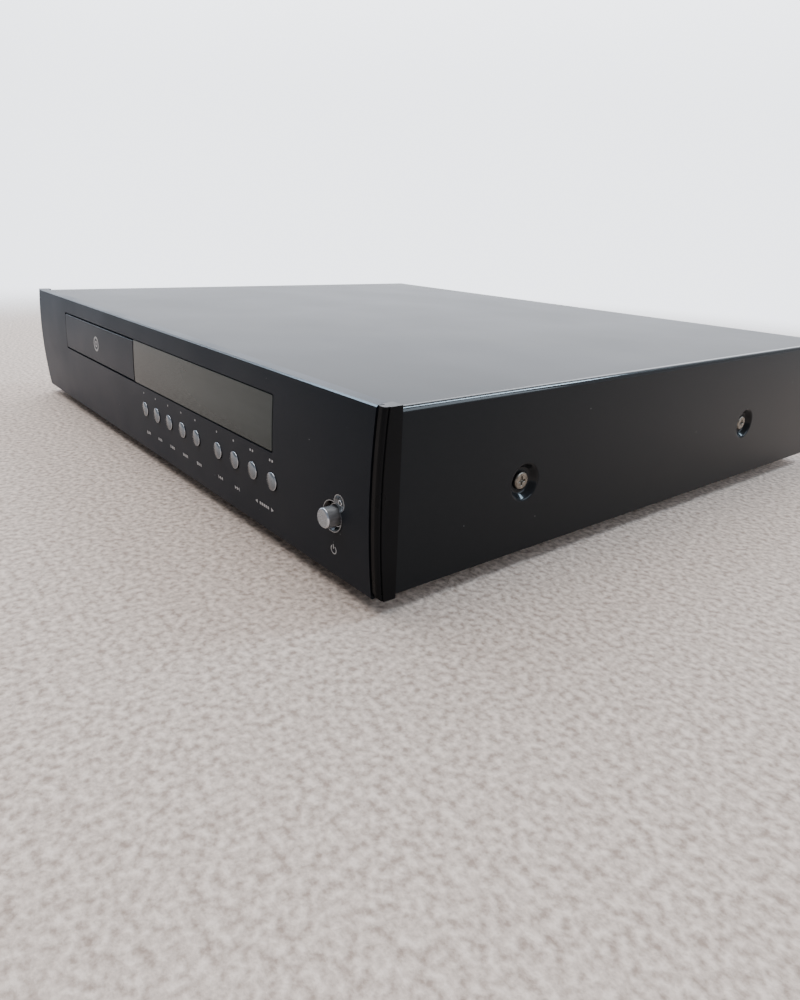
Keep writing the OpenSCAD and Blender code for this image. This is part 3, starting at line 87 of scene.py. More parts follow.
# The floor: its size, its fleck's colours, the colour that it takes far off, and how far from the
# middle it turns pale and then fades out
FLOOR_SIZE = 16
FLECK_SCALE = 380
FLECK_DARK = (0.35, 0.268, 0.222, 1)
FLECK_LIGHT = (0.76, 0.630, 0.548, 1)
FLOOR_FAR = (0.80, 0.80, 0.80, 1)
PALE_EDGE = (0.55, 2.2)
FADE_EDGE = (0.62, 1.15)


# ---------------------------------------------------------------- stage

def make_camera():
    bpy.ops.object.camera_add()
    camera = bpy.context.object
    camera.name = "photo_camera"
    back = CAMERA_RIGHT.cross(CAMERA_UP).normalized()
    turn = Matrix((CAMERA_RIGHT, CAMERA_UP, back)).transposed().to_4x4()
    camera.matrix_world = Matrix.Translation(CAMERA_PLACE) @ turn
    camera.data.sensor_width = SENSOR
    camera.data.lens = FOCAL_PIXELS / PICTURE_HEIGHT * SENSOR
    camera.data.clip_start = 0.01
    bpy.context.scene.camera = camera


def soft_step(tree, edge, low=0.0, high=1.0):
    """A node that goes softly from low to high while its value crosses the edge."""
    node = tree.nodes.new("ShaderNodeMapRange")
    node.interpolation_type = "SMOOTHSTEP"
    node.inputs["From Min"].default_value, node.inputs["From Max"].default_value = edge
    node.inputs["To Min"].default_value = low
    node.inputs["To Max"].default_value = high
    return node


def make_world():
    """A pale room: its wall behind the player is the brightest, most of all above the player."""
    world = bpy.data.worlds.new("pale_room")
    bpy.context.scene.world = world
    world.use_nodes = True
    tree = world.node_tree
    background = tree.nodes["Background"]
    background.inputs["Color"].default_value = ROOM_TINT
    place = tree.nodes.new("ShaderNodeTexCoord")
    split = tree.nodes.new("ShaderNodeSeparateXYZ")
    toward_wall = tree.nodes.new("ShaderNodeVectorMath")
    toward_wall.operation = "DOT_PRODUCT"
    toward_wall.inputs[1].default_value = WALL_WAY
    side = soft_step(tree, WALL_EDGE)
    ground = soft_step(tree, GROUND_EDGE, GROUND_LIGHT, ROOM_LIGHT)
    rise = soft_step(tree, RISE_EDGE, WALL_LIGHT, WALL_LIGHT * WALL_RISE)
    tree.links.new(place.outputs["Generated"], toward_wall.inputs[0])
    tree.links.new(place.outputs["Generated"], split.inputs["Vector"])
    tree.links.new(toward_wall.outputs["Value"], side.inputs["Value"])
    tree.links.new(split.outputs["Z"], ground.inputs["Value"])
    tree.links.new(ground.outputs["Result"], side.inputs["To Min"])
    tree.links.new(split.outputs["Z"], rise.inputs["Value"])
    tree.links.new(rise.outputs["Result"], side.inputs["To Max"])
    tree.links.new(side.outputs["Result"], background.inputs["Strength"])


def make_lights():
    """A warm panel overhead, a bluish one over the floor at the left, one at the right, and a window."""
    for name, place, aim, size, power, tint in LIGHTS:
        bpy.ops.object.light_add(type="AREA", location=place)
        light = bpy.context.object
        light.name = name
        light.visible_camera = False
        light.data.shape = "RECTANGLE"
        light.data.size, light.data.size_y = size
        light.data.energy = power
        light.data.color = tint
        way = Vector(aim) - Vector(place)
        light.rotation_euler = way.to_track_quat("-Z", "Y").to_euler()


def make_floor():
    """A pale flecked floor that fades out before it meets the wall."""
    bpy.ops.mesh.primitive_plane_add(size=FLOOR_SIZE)
    floor = bpy.context.object
    floor.name = "floor"
    mat = bpy.data.materials.new("pale_floor")
    mat.use_nodes = True
    tree = mat.node_tree
    shader = tree.nodes["Principled BSDF"]
    shader.inputs["Roughness"].default_value = 0.95
    place = tree.nodes.new("ShaderNodeTexCoord")
    noise = tree.nodes.new("ShaderNodeTexNoise")
    noise.inputs["Scale"].default_value = FLECK_SCALE
    noise.inputs["Detail"].default_value = 5
    ramp = tree.nodes.new("ShaderNodeValToRGB")
    dark, light = ramp.color_ramp.elements
    dark.position = 0.32
    dark.color = FLECK_DARK
    light.position = 0.66
    light.color = FLECK_LIGHT
    distance = tree.nodes.new("ShaderNodeVectorMath")
    distance.operation = "LENGTH"
    spread = tree.nodes.new("ShaderNodeMapRange")
    spread.inputs["From Min"].default_value, spread.inputs["From Max"].default_value = PALE_EDGE
    pale = tree.nodes.new("ShaderNodeMix")
    pale.data_type = "RGBA"
    pale.inputs["B"].default_value = FLOOR_FAR
    bump = tree.nodes.new("ShaderNodeBump")
    bump.inputs["Strength"].default_value = 0.5
    bump.inputs["Distance"].default_value = 2 * MM
    fade = soft_step(tree, FADE_EDGE, 1.0, 0.0)
    tree.links.new(place.outputs["Object"], noise.inputs["Vector"])
    tree.links.new(place.outputs["Object"], distance.inputs[0])
    tree.links.new(distance.outputs["Value"], spread.inputs["Value"])
    tree.links.new(distance.outputs["Value"], fade.inputs["Value"])
    tree.links.new(noise.outputs["Fac"], ramp.inputs["Fac"])
    tree.links.new(noise.outputs["Fac"], bump.inputs["Height"])
    tree.links.new(spread.outputs["Result"], pale.inputs["Factor"])
    tree.links.new(ramp.outputs["Color"], pale.inputs["A"])
    tree.links.new(pale.outputs["Result"], shader.inputs["Base Color"])
    tree.links.new(bump.outputs["Normal"], shader.inputs["Normal"])
    tree.links.new(fade.outputs["Result"], shader.inputs["Alpha"])
    floor.data.materials.append(mat)


# ---------------------------------------------------------------- finishes

class Finish:
    """One material: a Principled shader whose colour, roughness and bump come from its nodes."""

    def __init__(self, name, rough, metal=0.0, ior=1.5, coat=0.0, coat_rough=0.1):
        self.mat = bpy.data.materials.new(name)
        self.mat.use_nodes = True
        self.tree = self.mat.node_tree
        self.shader = self.tree.nodes["Principled BSDF"]
        self.shader.inputs["Roughness"].default_value = rough
        self.shader.inputs["Metallic"].default_value = metal
        self.shader.inputs["IOR"].default_value = ior
        self.shader.inputs["Coat Weight"].default_value = coat
        self.shader.inputs["Coat Roughness"].default_value = coat_rough
        self.place = self.tree.nodes.new("ShaderNodeTexCoord").outputs["Object"]

    def noise(self, scale, detail=3.0, stretch=(1, 1, 1)):
        """Noise over the piece; a small stretch along an axis draws the pattern out along it."""
        mapping = self.tree.nodes.new("ShaderNodeMapping")
        mapping.inputs["Scale"].default_value = stretch
        noise = self.tree.nodes.new("ShaderNodeTexNoise")
        noise.inputs["Scale"].default_value = scale
        noise.inputs["Detail"].default_value = detail
        self.tree.links.new(self.place, mapping.inputs["Vector"])
        self.tree.links.new(mapping.outputs["Vector"], noise.inputs["Vector"])
        return noise.outputs["Fac"]

    def ramp(self, value, stops):
        """Colours that follow a value: each stop has its position and its colour."""
        node = self.tree.nodes.new("ShaderNodeValToRGB")
        elements = node.color_ramp.elements
        while len(elements) < len(stops):
            elements.new(0.5)
        for element, (position, colour) in zip(elements, stops):
            element.position = position
            element.color = (*colour, 1)
        self.tree.links.new(value, node.inputs["Fac"])
        return node.outputs["Color"]

    def colour(self, dark, light, scale, detail=3.0, stretch=(1, 1, 1), low=0.35, high=0.65):
        """The base colour wanders between dark and light."""
        paint = self.ramp(self.noise(scale, detail, stretch), ((low, dark), (high, light)))
        self.tree.links.new(paint, self.shader.inputs["Base Color"])
        return paint

    def roughness(self, low, high, scale, stretch=(1, 1, 1)):
        """The roughness wanders between low and high."""
        spread = self.tree.nodes.new("ShaderNodeMapRange")
        spread.inputs["From Min"].default_value = 0.3
        spread.inputs["From Max"].default_value = 0.7
        spread.inputs["To Min"].default_value = low
        spread.inputs["To Max"].default_value = high
        self.tree.links.new(self.noise(scale, 4.0, stretch), spread.inputs["Value"])
        self.tree.links.new(spread.outputs["Result"], self.shader.inputs["Roughness"])

    def bump(self, height, depth):
        """Fine relief of this depth in metres."""
        node = self.tree.nodes.new("ShaderNodeBump")
        node.inputs["Strength"].default_value = 1.0
        node.inputs["Distance"].default_value = depth
        self.tree.links.new(height, node.inputs["Height"])
        self.tree.links.new(node.outputs["Normal"], self.shader.inputs["Normal"])

    def specks(self, paint, scale, size, colour):
        """Sparse pale dust over a paint."""
        cells = self.tree.nodes.new("ShaderNodeTexVoronoi")
        cells.inputs["Scale"].default_value = scale
        self.tree.links.new(self.place, cells.inputs["Vector"])
        dust = self.ramp(cells.outputs["Distance"], ((size * 0.5, (1, 1, 1)), (size, (0, 0, 0))))
        mix = self.tree.nodes.new("ShaderNodeMix")
        mix.data_type = "RGBA"
        mix.inputs["B"].default_value = (*colour, 1)
        self.tree.links.new(dust, mix.inputs["Factor"])
        self.tree.links.new(paint, mix.inputs["A"])
        self.tree.links.new(mix.outputs["Result"], self.shader.inputs["Base Color"])


def satin_black(name, dark, light, rough, ior=1.20, sheen=0.065):
    """Smooth black paint on metal: the fascia, the tray door and the rear panel."""
    finish = Finish(name, rough, ior=ior)
    finish.shader.inputs["Specular Tint"].default_value = (0.70, 0.86, 1.0, 1)
    finish.shader.inputs["Sheen Weight"].default_value = sheen
    finish.shader.inputs["Sheen Roughness"].default_value = 0.45
    finish.shader.inputs["Sheen Tint"].default_value = (0.45, 0.62, 0.95, 1)
    paint = finish.colour(dark, light, 9, 4)
    finish.specks(paint, 95, 0.028, (0.16, 0.16, 0.165))
    finish.roughness(rough - 0.03, rough + 0.04, 22)
    finish.bump(finish.noise(5200, 2), 0.006 * MM)
    return finish.mat


def textured_black(name, ior, coat=0.04):
    """Finely textured black paint on the folded cover."""
    finish = Finish(name, 0.32, ior=ior, coat=coat, coat_rough=0.06)
    finish.shader.inputs["Specular Tint"].default_value = (0.74, 0.88, 1.0, 1)
    paint = finish.colour((0.0034, 0.0037, 0.0044), (0.0052, 0.0057, 0.0068), 7, 4)
    finish.specks(paint, 60, 0.02, (0.13, 0.13, 0.135))
    finish.roughness(0.31, 0.34, 14)
    finish.bump(finish.noise(1500, 3), 0.012 * MM)
    return finish.mat


def moulded(name, dark, light, rough, grain=1400, depth=0.012, ior=1.5):
    """Moulded plastic with a spark-eroded grain."""
    finish = Finish(name, rough, ior=ior)
    finish.colour(dark, light, 30)
    finish.roughness(rough - 0.05, rough + 0.06, 60)
    finish.bump(finish.noise(grain, 3), depth * MM)
    return finish.mat


def bare_metal(name, dark, light, rough, stretch=(1, 1, 1), scale=700, depth=0.004):
    """Plated, ground or drawn metal; stretch lays its grain along one way."""
    finish = Finish(name, rough, metal=1.0)
    finish.colour(dark, light, scale * 0.3, 4, stretch)
    finish.roughness(rough - 0.06, rough + 0.08, scale * 0.2, stretch)
    finish.bump(finish.noise(scale, 3, stretch), depth * MM)
    return finish.mat


def smoked_window(name):
    """Smoked plastic; its faint film streaks run along the window."""
    finish = Finish(name, 0.1, ior=1.32)
    finish.shader.inputs["Specular Tint"].default_value = (0.62, 0.78, 0.90, 1)
    finish.colour((0.011, 0.0145, 0.0130), (0.034, 0.043, 0.039), 55, 7, (0.14, 1, 1), 0.3, 0.7)
    finish.roughness(0.025, 0.06, 60, (0.3, 1, 1))
    finish.bump(finish.noise(30, 2, (0.3, 1, 1)), 0.02 * MM)
    return finish.mat


def rubber(name):
    """Matt rubber with a fine grain."""
    finish = Finish(name, 0.8)
    finish.colour((0.012, 0.012, 0.012), (0.026, 0.026, 0.027), 120)
    finish.bump(finish.noise(2400, 3), 0.02 * MM)
    return finish.mat


def lacquered_board(name, dark, light):
    """A circuit board: lacquer over fine copper tracks."""
    finish = Finish(name, 0.32, coat=0.4, coat_rough=0.15)
    brick = finish.tree.nodes.new("ShaderNodeTexBrick")
    brick.inputs["Scale"].default_value = 320
    brick.inputs["Mortar Size"].default_value = 0.03
    brick.inputs["Color1"].default_value = (*dark, 1)
    brick.inputs["Color2"].default_value = (*[0.6 * a + 0.4 * b for a, b in zip(dark, light)], 1)
    brick.inputs["Mortar"].default_value = (*light, 1)
    finish.tree.links.new(finish.place, brick.inputs["Vector"])
    finish.tree.links.new(brick.outputs["Color"], finish.shader.inputs["Base Color"])
    finish.bump(finish.noise(900, 3), 0.01 * MM)
    return finish.mat


def tube_glass(name):
    """The display tube's dark glass."""
    finish = Finish(name, 0.06)
    finish.colour((0.012, 0.018, 0.017), (0.03, 0.04, 0.038), 200, 2, (1, 1, 0.2))
    return finish.mat


# The socket inserts are white, and yellow from this share of their row on
WHITE_INSERT = (0.60, 0.58, 0.54, 1)
YELLOW_INSERT = (0.62, 0.36, 0.01, 1)
YELLOW_FROM = 0.66


def phono_plastic(name):
    """Moulded socket inserts; their colour follows the place along X."""
    finish = Finish(name, 0.4)
    split = finish.tree.nodes.new("ShaderNodeSeparateXYZ")
    low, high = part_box("phono_inserts")
    spread = finish.tree.nodes.new("ShaderNodeMapRange")
    spread.inputs["From Min"].default_value = low.x
    spread.inputs["From Max"].default_value = high.x
    finish.tree.links.new(finish.place, split.inputs["Vector"])
    finish.tree.links.new(split.outputs["X"], spread.inputs["Value"])
    ramp = finish.tree.nodes.new("ShaderNodeValToRGB")
    ramp.color_ramp.interpolation = "CONSTANT"
    first, second = ramp.color_ramp.elements
    first.color = WHITE_INSERT
    second.color = YELLOW_INSERT
    second.position = YELLOW_FROM
    finish.tree.links.new(spread.outputs["Result"], ramp.inputs["Fac"])
    finish.tree.links.new(ramp.outputs["Color"], finish.shader.inputs["Base Color"])
    finish.bump(finish.noise(1500, 2), 0.01 * MM)
    return finish.mat


def light_pipe(name):
    """Clear plastic that leads the standby light to the front."""
    finish = Finish(name, 0.12, coat=0.5)
    finish.colour((0.26, 0.28, 0.28), (0.34, 0.36, 0.36), 900)
    return finish.mat


def printed_ink(name, dark, light):
    """Screen-printed ink."""
    finish = Finish(name, 0.5)
    finish.colour(dark, light, 900)
    return finish.mat


def make_finishes():
    """Every finish, kept by its name."""
    made = {}

    def add(name, maker, *values, **more):
        made[name] = maker(name, *values, **more)

    turned = dict(stretch=(1, 0.05, 1), scale=7000)
    polished = dict(turned, depth=0.0006)
    add("fascia_black", satin_black, (0.0032, 0.0038, 0.0050), (0.0048, 0.0056, 0.0074), 0.40)
    add("door_black", satin_black, (0.0042, 0.0048, 0.0060), (0.0060, 0.0068, 0.0086), 0.38)
    add("rear_black", satin_black, (0.012, 0.012, 0.0125), (0.017, 0.017, 0.018), 0.42, sheen=0.02)
    add("cheek_black", moulded, (0.0030, 0.0034, 0.0042),
        (0.0044, 0.0050, 0.0062), 0.30, 3000, 0.005, 1.19)
    add("cover_black", textured_black, 1.27)
    add("top_black", textured_black, 1.13, 0.0)
    add("bend_black", textured_black, 1.17, 1.0)
    add("dish_black", textured_black, 1.17, 0.4)
    add("plated_steel", bare_metal, (0.42, 0.43, 0.44), (0.60, 0.61, 0.62), 0.36, (1, 0.08, 1), 500)
    add("nickel_screw", bare_metal, (0.15, 0.135, 0.115),
        (0.28, 0.26, 0.23), 0.30, scale=2400, depth=0.008)
    add("zinc_screw", bare_metal, (0.22, 0.22, 0.23), (0.38, 0.38, 0.39), 0.38, scale=1800)
    add("foot_plastic", moulded, (0.010, 0.010, 0.010), (0.018, 0.018, 0.018), 0.55, 900, 0.03)
    add("pad_rubber", rubber)
    add("smoked_window", smoked_window)
    add("satin_silver", bare_metal, (0.183, 0.215, 0.247), (0.226, 0.258, 0.290), 0.20, **polished)
    # A darker copy of the bezel's metal for the LED's dish: lighter painted shade in that hollow
    add("led_dish_painted_shade", bare_metal, (0.120, 0.132, 0.144), (0.155, 0.168, 0.180), 0.26, **polished)
    add("bezel_silver", bare_metal, (0.27, 0.30, 0.33), (0.33, 0.36, 0.39), 0.22, **polished)
    add("light_pipe", light_pipe)
    add("board_green", lacquered_board, (0.010, 0.07, 0.028), (0.03, 0.15, 0.06))
    add("board_brown", lacquered_board, (0.20, 0.12, 0.05), (0.32, 0.21, 0.10))
    add("tube_glass", tube_glass)
    add("switch_black", moulded, (0.015, 0.015, 0.015), (0.03, 0.03, 0.03), 0.45)
    add("switch_white", moulded, (0.52, 0.50, 0.45), (0.64, 0.62, 0.57), 0.42)
    add("ferrite", moulded, (0.05, 0.05, 0.052), (0.09, 0.09, 0.092), 0.6, 1200, 0.03)
    add("heatsink_alu", bare_metal, (0.40, 0.41, 0.42), (0.56, 0.57, 0.58), 0.40, (1, 1, 0.05), 900)
    add("can_sleeve", moulded, (0.012, 0.016, 0.035), (0.022, 0.028, 0.055), 0.28, 500, 0.004)
    add("brass_post", bare_metal, (0.50, 0.36, 0.14), (0.66, 0.50, 0.24), 0.30, **turned)
    add("cable_white", moulded, (0.55, 0.55, 0.55), (0.70, 0.70, 0.69), 0.40, 700, 0.02)
    add("moulded_black", moulded, (0.015, 0.015, 0.016), (0.027, 0.027, 0.029), 0.48)
    add("tray_black", moulded, (0.012, 0.012, 0.0125), (0.020, 0.020, 0.021), 0.42, 1800, 0.010)
    add("nylon_white", moulded, (0.56, 0.54, 0.48), (0.70, 0.68, 0.61), 0.46, 1500, 0.010)
    add("motor_can", bare_metal, (0.40, 0.41, 0.42), (0.56, 0.57, 0.58), 0.30, (1, 1, 0.06), 900)
    add("brass_turned", bare_metal, (0.52, 0.38, 0.15), (0.68, 0.52, 0.26), 0.24, **turned)
    add("belt_rubber", rubber)
    add("bridge_steel", bare_metal, (0.38, 0.39, 0.40), (0.54, 0.55, 0.56), 0.34, (0.08, 1, 1), 600)
    add("moulded_grey", moulded, (0.040, 0.042, 0.047), (0.062, 0.064, 0.070), 0.5)
    add("die_cast", bare_metal, (0.28, 0.29, 0.30), (0.42, 0.43, 0.44), 0.48, scale=1100, depth=0.012)
    add("ground_rod", bare_metal, (0.55, 0.56, 0.57), (0.70, 0.71, 0.72), 0.14, (1, 0.05, 1), 1500)
    add("bush_rubber", rubber)
    add("socket_black", moulded, (0.012, 0.012, 0.012), (0.021, 0.021, 0.021), 0.40)
    add("pin_plate", bare_metal, (0.55, 0.55, 0.55), (0.70, 0.70, 0.70), 0.20, (1, 0.1, 1), 1300)
    add("gold_plate", bare_metal, (0.62, 0.43, 0.16), (0.78, 0.58, 0.26), 0.20, **turned)
    add("phono_plastic", phono_plastic)
    add("shell_plate", bare_metal, (0.42, 0.43, 0.44), (0.58, 0.59, 0.60), 0.26, scale=1300)
    add("printed_white", printed_ink, (0.42, 0.42, 0.43), (0.56, 0.56, 0.57))
    add("coil_tape", moulded, (0.42, 0.29, 0.03), (0.56, 0.40, 0.06), 0.34, 500, 0.01)
    add("led_tint", moulded, (0.05, 0.055, 0.05), (0.07, 0.078, 0.07), 0.12, 900, 0.001)
    # A much darker copy of the bezel's metal for the dish round the knob: painted shade in the hollow
    add("bezel_dish_painted_shade", bare_metal, (0.035, 0.035, 0.037), (0.05, 0.05, 0.052), 0.18, **polished)
    # A paler metal for bevelled rims and the LED's collar: a painted highlight
    add("painted_highlight_rim", bare_metal, (0.50, 0.53, 0.58), (0.58, 0.61, 0.66), 0.16, **polished)
    # A paler copy of the fascia's paint for the upper bevels: a painted highlight
    add("painted_highlight_edge", satin_black, (0.03, 0.033, 0.038), (0.05, 0.054, 0.06), 0.24, 2.1)
    add("knob_face", bare_metal, (0.315, 0.355, 0.395), (0.375, 0.415, 0.455), 0.22, **polished)
    add("knob_side", bare_metal, (0.36, 0.37, 0.39), (0.52, 0.53, 0.55), 0.52, (1, 0.3, 1), 2600, 0.003)
    add("printed_grey", printed_ink, (0.36, 0.36, 0.37), (0.48, 0.48, 0.49))
    return made


# ---------------------------------------------------------------- making pieces

SHARP_ANGLE = 28  # degrees; edges sharper than this are bevelled and shaded as edges
ROUND_ANGLE = 40  # degrees; the same on a coarse round piece
FLAT_ANGLE = 0.05  # degrees; faces that meet at less are one flat face
JOIN_GAP = 2e-6  # metres; points closer than this are one point


def only(piece):
    """The piece alone is selected and active."""
    bpy.ops.object.select_all(action="DESELECT")
    piece.select_set(True)
    bpy.context.view_layer.objects.active = piece


def stands_for(piece, node):
    """The piece takes the node's place, on the node's body and with its finish."""
    piece.data.materials.append(finishes[slot_of_node[node]])
    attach(piece, body_of_node[node])
    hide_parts(node)


def added(piece, node, finish):
    """The piece is a detail on a node's body."""
    piece.data.materials.append(finishes[finish])
    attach(piece, body_of_node[node])


def soften(piece, edge, segments=3):
    """Bevel the piece's sharp edges; edge is in millimetres."""
    bevel = piece.modifiers.new("softened_edges", "BEVEL")
    bevel.width = edge * MM
    bevel.segments = segments
    bevel.limit_method = "ANGLE"
    bevel.angle_limit = math.radians(SHARP_ANGLE)
    bevel.use_clamp_overlap = False
    only(piece)
    bpy.ops.object.modifier_apply(modifier=bevel.name)


def merged_copy(node, name):
    """A copy of a CAD node's mesh with its points joined and its flat faces whole."""
    mesh = nodes[node].data.copy()
    mesh.materials.clear()
    piece = bpy.data.objects.new(name, mesh)
    bpy.context.scene.collection.objects.link(piece)
    only(piece)
    bpy.ops.object.mode_set(mode="EDIT")
    bpy.ops.mesh.select_all(action="SELECT")
    bpy.ops.mesh.remove_doubles(threshold=JOIN_GAP)
    bpy.ops.mesh.dissolve_limited(angle_limit=math.radians(FLAT_ANGLE))
    bpy.ops.object.mode_set(mode="OBJECT")
    return piece


def smooth(piece, angle=SHARP_ANGLE):
    """Smooth shading over the curved faces, while the large flat faces stay flat."""
    only(piece)
    bpy.ops.object.shade_smooth_by_angle(angle=math.radians(angle))
    weighted = piece.modifiers.new("flat_faces", "WEIGHTED_NORMAL")
    weighted.keep_sharp = True
    weighted.weight = 100
    bpy.ops.object.modifier_apply(modifier=weighted.name)


def dressed(node, edge, segments=3):
    """A copy of a CAD node with softened edges, which stands for the node."""
    piece = merged_copy(node, node + "_dressed")
    if edge:
        soften(piece, edge, segments)
    smooth(piece)
    stands_for(piece, node)
    return piece


def piece_box(piece):
    """The piece's lowest and highest corners."""
    points = [vertex.co for vertex in piece.data.vertices]
    low = Vector([min(point[i] for point in points) for i in range(3)])
    high = Vector([max(point[i] for point in points) for i in range(3)])
    return low, high


# ---------------------------------------------------------------- the printed marks

# The crowned front: its middle height, half its height, its radius, and the plane of its edges
MIDDLE_Z = 42 * MM
FASCIA_HALF_HEIGHT = 36 * MM
CROWN_RADIUS = (FASCIA_HALF_HEIGHT ** 2 + CROWN ** 2) / (2 * CROWN)
FASCIA_EDGE_Y = -175.7848 * MM
# The print on it: its distance from the paint, and its thickness
PRINT_LIFT = 0.03 * MM
PRINT_THICK = 0.03 * MM


def fascia_y(z):
    """The fascia's front surface at height z."""
    return FASCIA_EDGE_Y + CROWN_RADIUS - CROWN - math.sqrt(CROWN_RADIUS ** 2 - (z - MIDDLE_Z) ** 2)


def printed(name, node, shapes, middle_x, middle_z, finish="printed_white"):
    """Outlines in millimetres about a middle, laid as thin print on the crowned front or the back."""
    rear_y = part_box("rear_panel")[1].y if node == "rear_panel" else None
    points = []
    faces = []
    for shape in shapes:
        first = len(points)
        count = len(shape)
        for lift in (PRINT_LIFT + PRINT_THICK, PRINT_LIFT):
            for x, z in shape:
                height = middle_z + z * MM
                depth = fascia_y(height) - lift if rear_y is None else rear_y + lift
                points.append((middle_x + x * MM, depth, height))
        faces.append([first + i for i in range(count)])
        faces.append([first + count + i for i in reversed(range(count))])
        for i in range(count):
            after = (i + 1) % count
            faces.append([first + i, first + count + i, first + count + after, first + after])
    mesh = bpy.data.meshes.new(name)
    mesh.from_pydata(points, [], faces)
    piece = bpy.data.objects.new(name, mesh)
    bpy.context.scene.collection.objects.link(piece)
    only(piece)
    bpy.ops.object.mode_set(mode="EDIT")
    bpy.ops.mesh.select_all(action="SELECT")
    bpy.ops.mesh.normals_make_consistent(inside=False)
    bpy.ops.object.mode_set(mode="OBJECT")
    added(piece, node, finish)


def oblong(x, z, width, height):
    """A bar, as the corners of its outline; all outlines are in millimetres."""
    return [(x - width / 2, z - height / 2), (x + width / 2, z - height / 2),
            (x + width / 2, z + height / 2), (x - width / 2, z + height / 2)]


def arrow(x, z, size, way):
    """A triangle that points along X (1 or -1), or up (0)."""
    if way == 0:
        return [(x - size / 2, z - size / 2), (x + size / 2, z - size / 2), (x, z + size / 2)]
    tail = x - way * size / 2
    return [(tail, z - size / 2), (x + way * size / 2, z), (tail, z + size / 2)]


def ring_parts(radius, width, start=0.0, end=360.0, count=24):
    """A ring, or a part of one, as quads; angles run anticlockwise from +X."""
    parts = []
    for i in range(count):
        a = math.radians(start + (end - start) * i / count)
        b = math.radians(start + (end - start) * (i + 1) / count)
        parts.append([(radius * math.cos(a), radius * math.sin(a)),
                      ((radius + width) * math.cos(a), (radius + width) * math.sin(a)),
                      ((radius + width) * math.cos(b), (radius + width) * math.sin(b)),
                      (radius * math.cos(b), radius * math.sin(b))])
    return parts


# Where the marks lie on the front; the buttons' places along X are in millimetres
BUTTON_XS = (0, 17, 34, 51, 68, 92, 109, 126, 143)
SINGLE_MARKS = 7  # buttons with one dot above them; the rest have two
MARKS_BELOW_Z = 17.8 * MM
MARKS_ABOVE_Z = 40.6 * MM
POWER_X = 188.2 * MM
POWER_MARK_Z = 17.6 * MM
PHONO_FLANGE_R = 5.95 * MM
PHONO_PITCH = 16 * MM
WORD_BAR = (1.3, 1.5)
WORD_PITCH = 1.9

MARKS_BELOW = (
    [arrow(-1.7, 0.3, 1.7, 0), oblong(-1.7, -0.9, 1.9, 0.4),
     oblong(0.4, 0, 1.1, 1.5), oblong(2.0, 0, 1.1, 1.5)],
    [oblong(x, 0, 1.1, 1.5) for x in (-1.9, 0, 1.9)],
    [oblong(-2.6, 0, 0.5, 1.6), oblong(-1.7, 0, 0.5, 1.6),
     oblong(0.1, 0, 1.5, 1.5), oblong(2.1, 0, 1.5, 1.5)],
    [oblong(x, 0, 1.1, 1.5) for x in (-2.4, -0.8, 0.8, 2.4)],
    [oblong(-1.9, 0, 1.7, 1.7), oblong(0.1, 0, 1.1, 1.5), oblong(1.8, 0, 1.1, 1.5)],
    [oblong(-2.1, 0, 0.5, 1.8), arrow(-0.7, 0, 1.8, -1), arrow(1.3, 0, 1.8, -1)],
    [arrow(-1.3, 0, 1.8, 1), arrow(0.7, 0, 1.8, 1), oblong(2.1, 0, 0.5, 1.8)],
)


def make_marks():
    """Plain signs round the buttons, a power sign, and rings on the tray door."""
    for i, shapes in enumerate(MARKS_BELOW):
        printed(f"mark_below_{i + 1}", "fascia", shapes, BUTTON_XS[i] * MM, MARKS_BELOW_Z)
    pair_x = (BUTTON_XS[7] + BUTTON_XS[8]) / 2 * MM
    pair = [arrow(-7, 0, 1.9, -1), arrow(7, 0, 1.9, 1)]
    pair += [oblong(1.75 * i, 0, 1.2, 1.3) for i in (-2, -1, 0, 1, 2)]
    printed("mark_below_pair", "fascia", pair, pair_x, MARKS_BELOW_Z)
    one_dot = [oblong(0, 0, 0.9, 0.9)]
    two_dots = [oblong(-1, 0, 1.0, 1.0), oblong(1, 0, 1.0, 1.0)]
    for i, x in enumerate(BUTTON_XS):
        dots = one_dot if i < SINGLE_MARKS else two_dots
        printed(f"mark_above_{i + 1}", "fascia", dots, x * MM, MARKS_ABOVE_Z)
    power = ring_parts(1.5, 0.4, 125, 415, 20) + [oblong(0, 1.3, 0.42, 1.9)]
    printed("mark_power", "fascia", power, POWER_X, POWER_MARK_Z)
    low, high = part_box("tray_door")
    disc = ring_parts(3.4, 1.2) + ring_parts(1.1, 0.9, count=16)
    printed("mark_disc", "tray_door", disc, (low.x + high.x) / 2, (low.z + high.z) / 2, "printed_grey")


def outline(x, z, width, height, line):
    """The four bars of a box drawn with a line of this width."""
    return [oblong(x, z + height / 2, width + line, line), oblong(x, z - height / 2, width + line, line),
            oblong(x - width / 2, z, line, height - line), oblong(x + width / 2, z, line, height - line)]


def word(count, z=0.0):
    """A row of bars in the place of a word, about the middle."""
    return [oblong(WORD_PITCH * (i - (count - 1) / 2), z, *WORD_BAR) for i in range(count)]


def make_rear_marks():
    """Plain boxes and bars by the sockets on the back."""
    low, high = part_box("phono_sockets")
    middle_z = (low.z + high.z) / 2
    for i in range(3):
        x = low.x + (PHONO_FLANGE_R + PHONO_PITCH * i)
        shapes = outline(0, 0, 13.4, 33, 0.4) + word(3, 19.2)
        printed(f"mark_phono_{i + 1}", "rear_panel", shapes, x, middle_z)
    for node, count, gap in (("scart_socket", 5, 3.2), ("hdmi_socket", 3, 3.0), ("iec_inlet", 4, 3.0)):
        low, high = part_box(node)
        printed(f"mark_{node}", "rear_panel", word(count), (low.x + high.x) / 2, high.z + gap * MM)


# ---------------------------------------------------------------- the outside

# The cheeks: how far they stand back from the crown, and the step and radius of their bead
CHEEK_SETBACK = 0.5 * MM
BEAD_STEP = 0.35 * MM
BEAD_ROUND = 1.4 * MM
# The buttons: their radius, how rounded their faces look, and how deep the domed face is
BUTTON_R = 4.0 * MM
FACE_ROUNDING = 0.42
DOME_DEPTH = 1 * MM
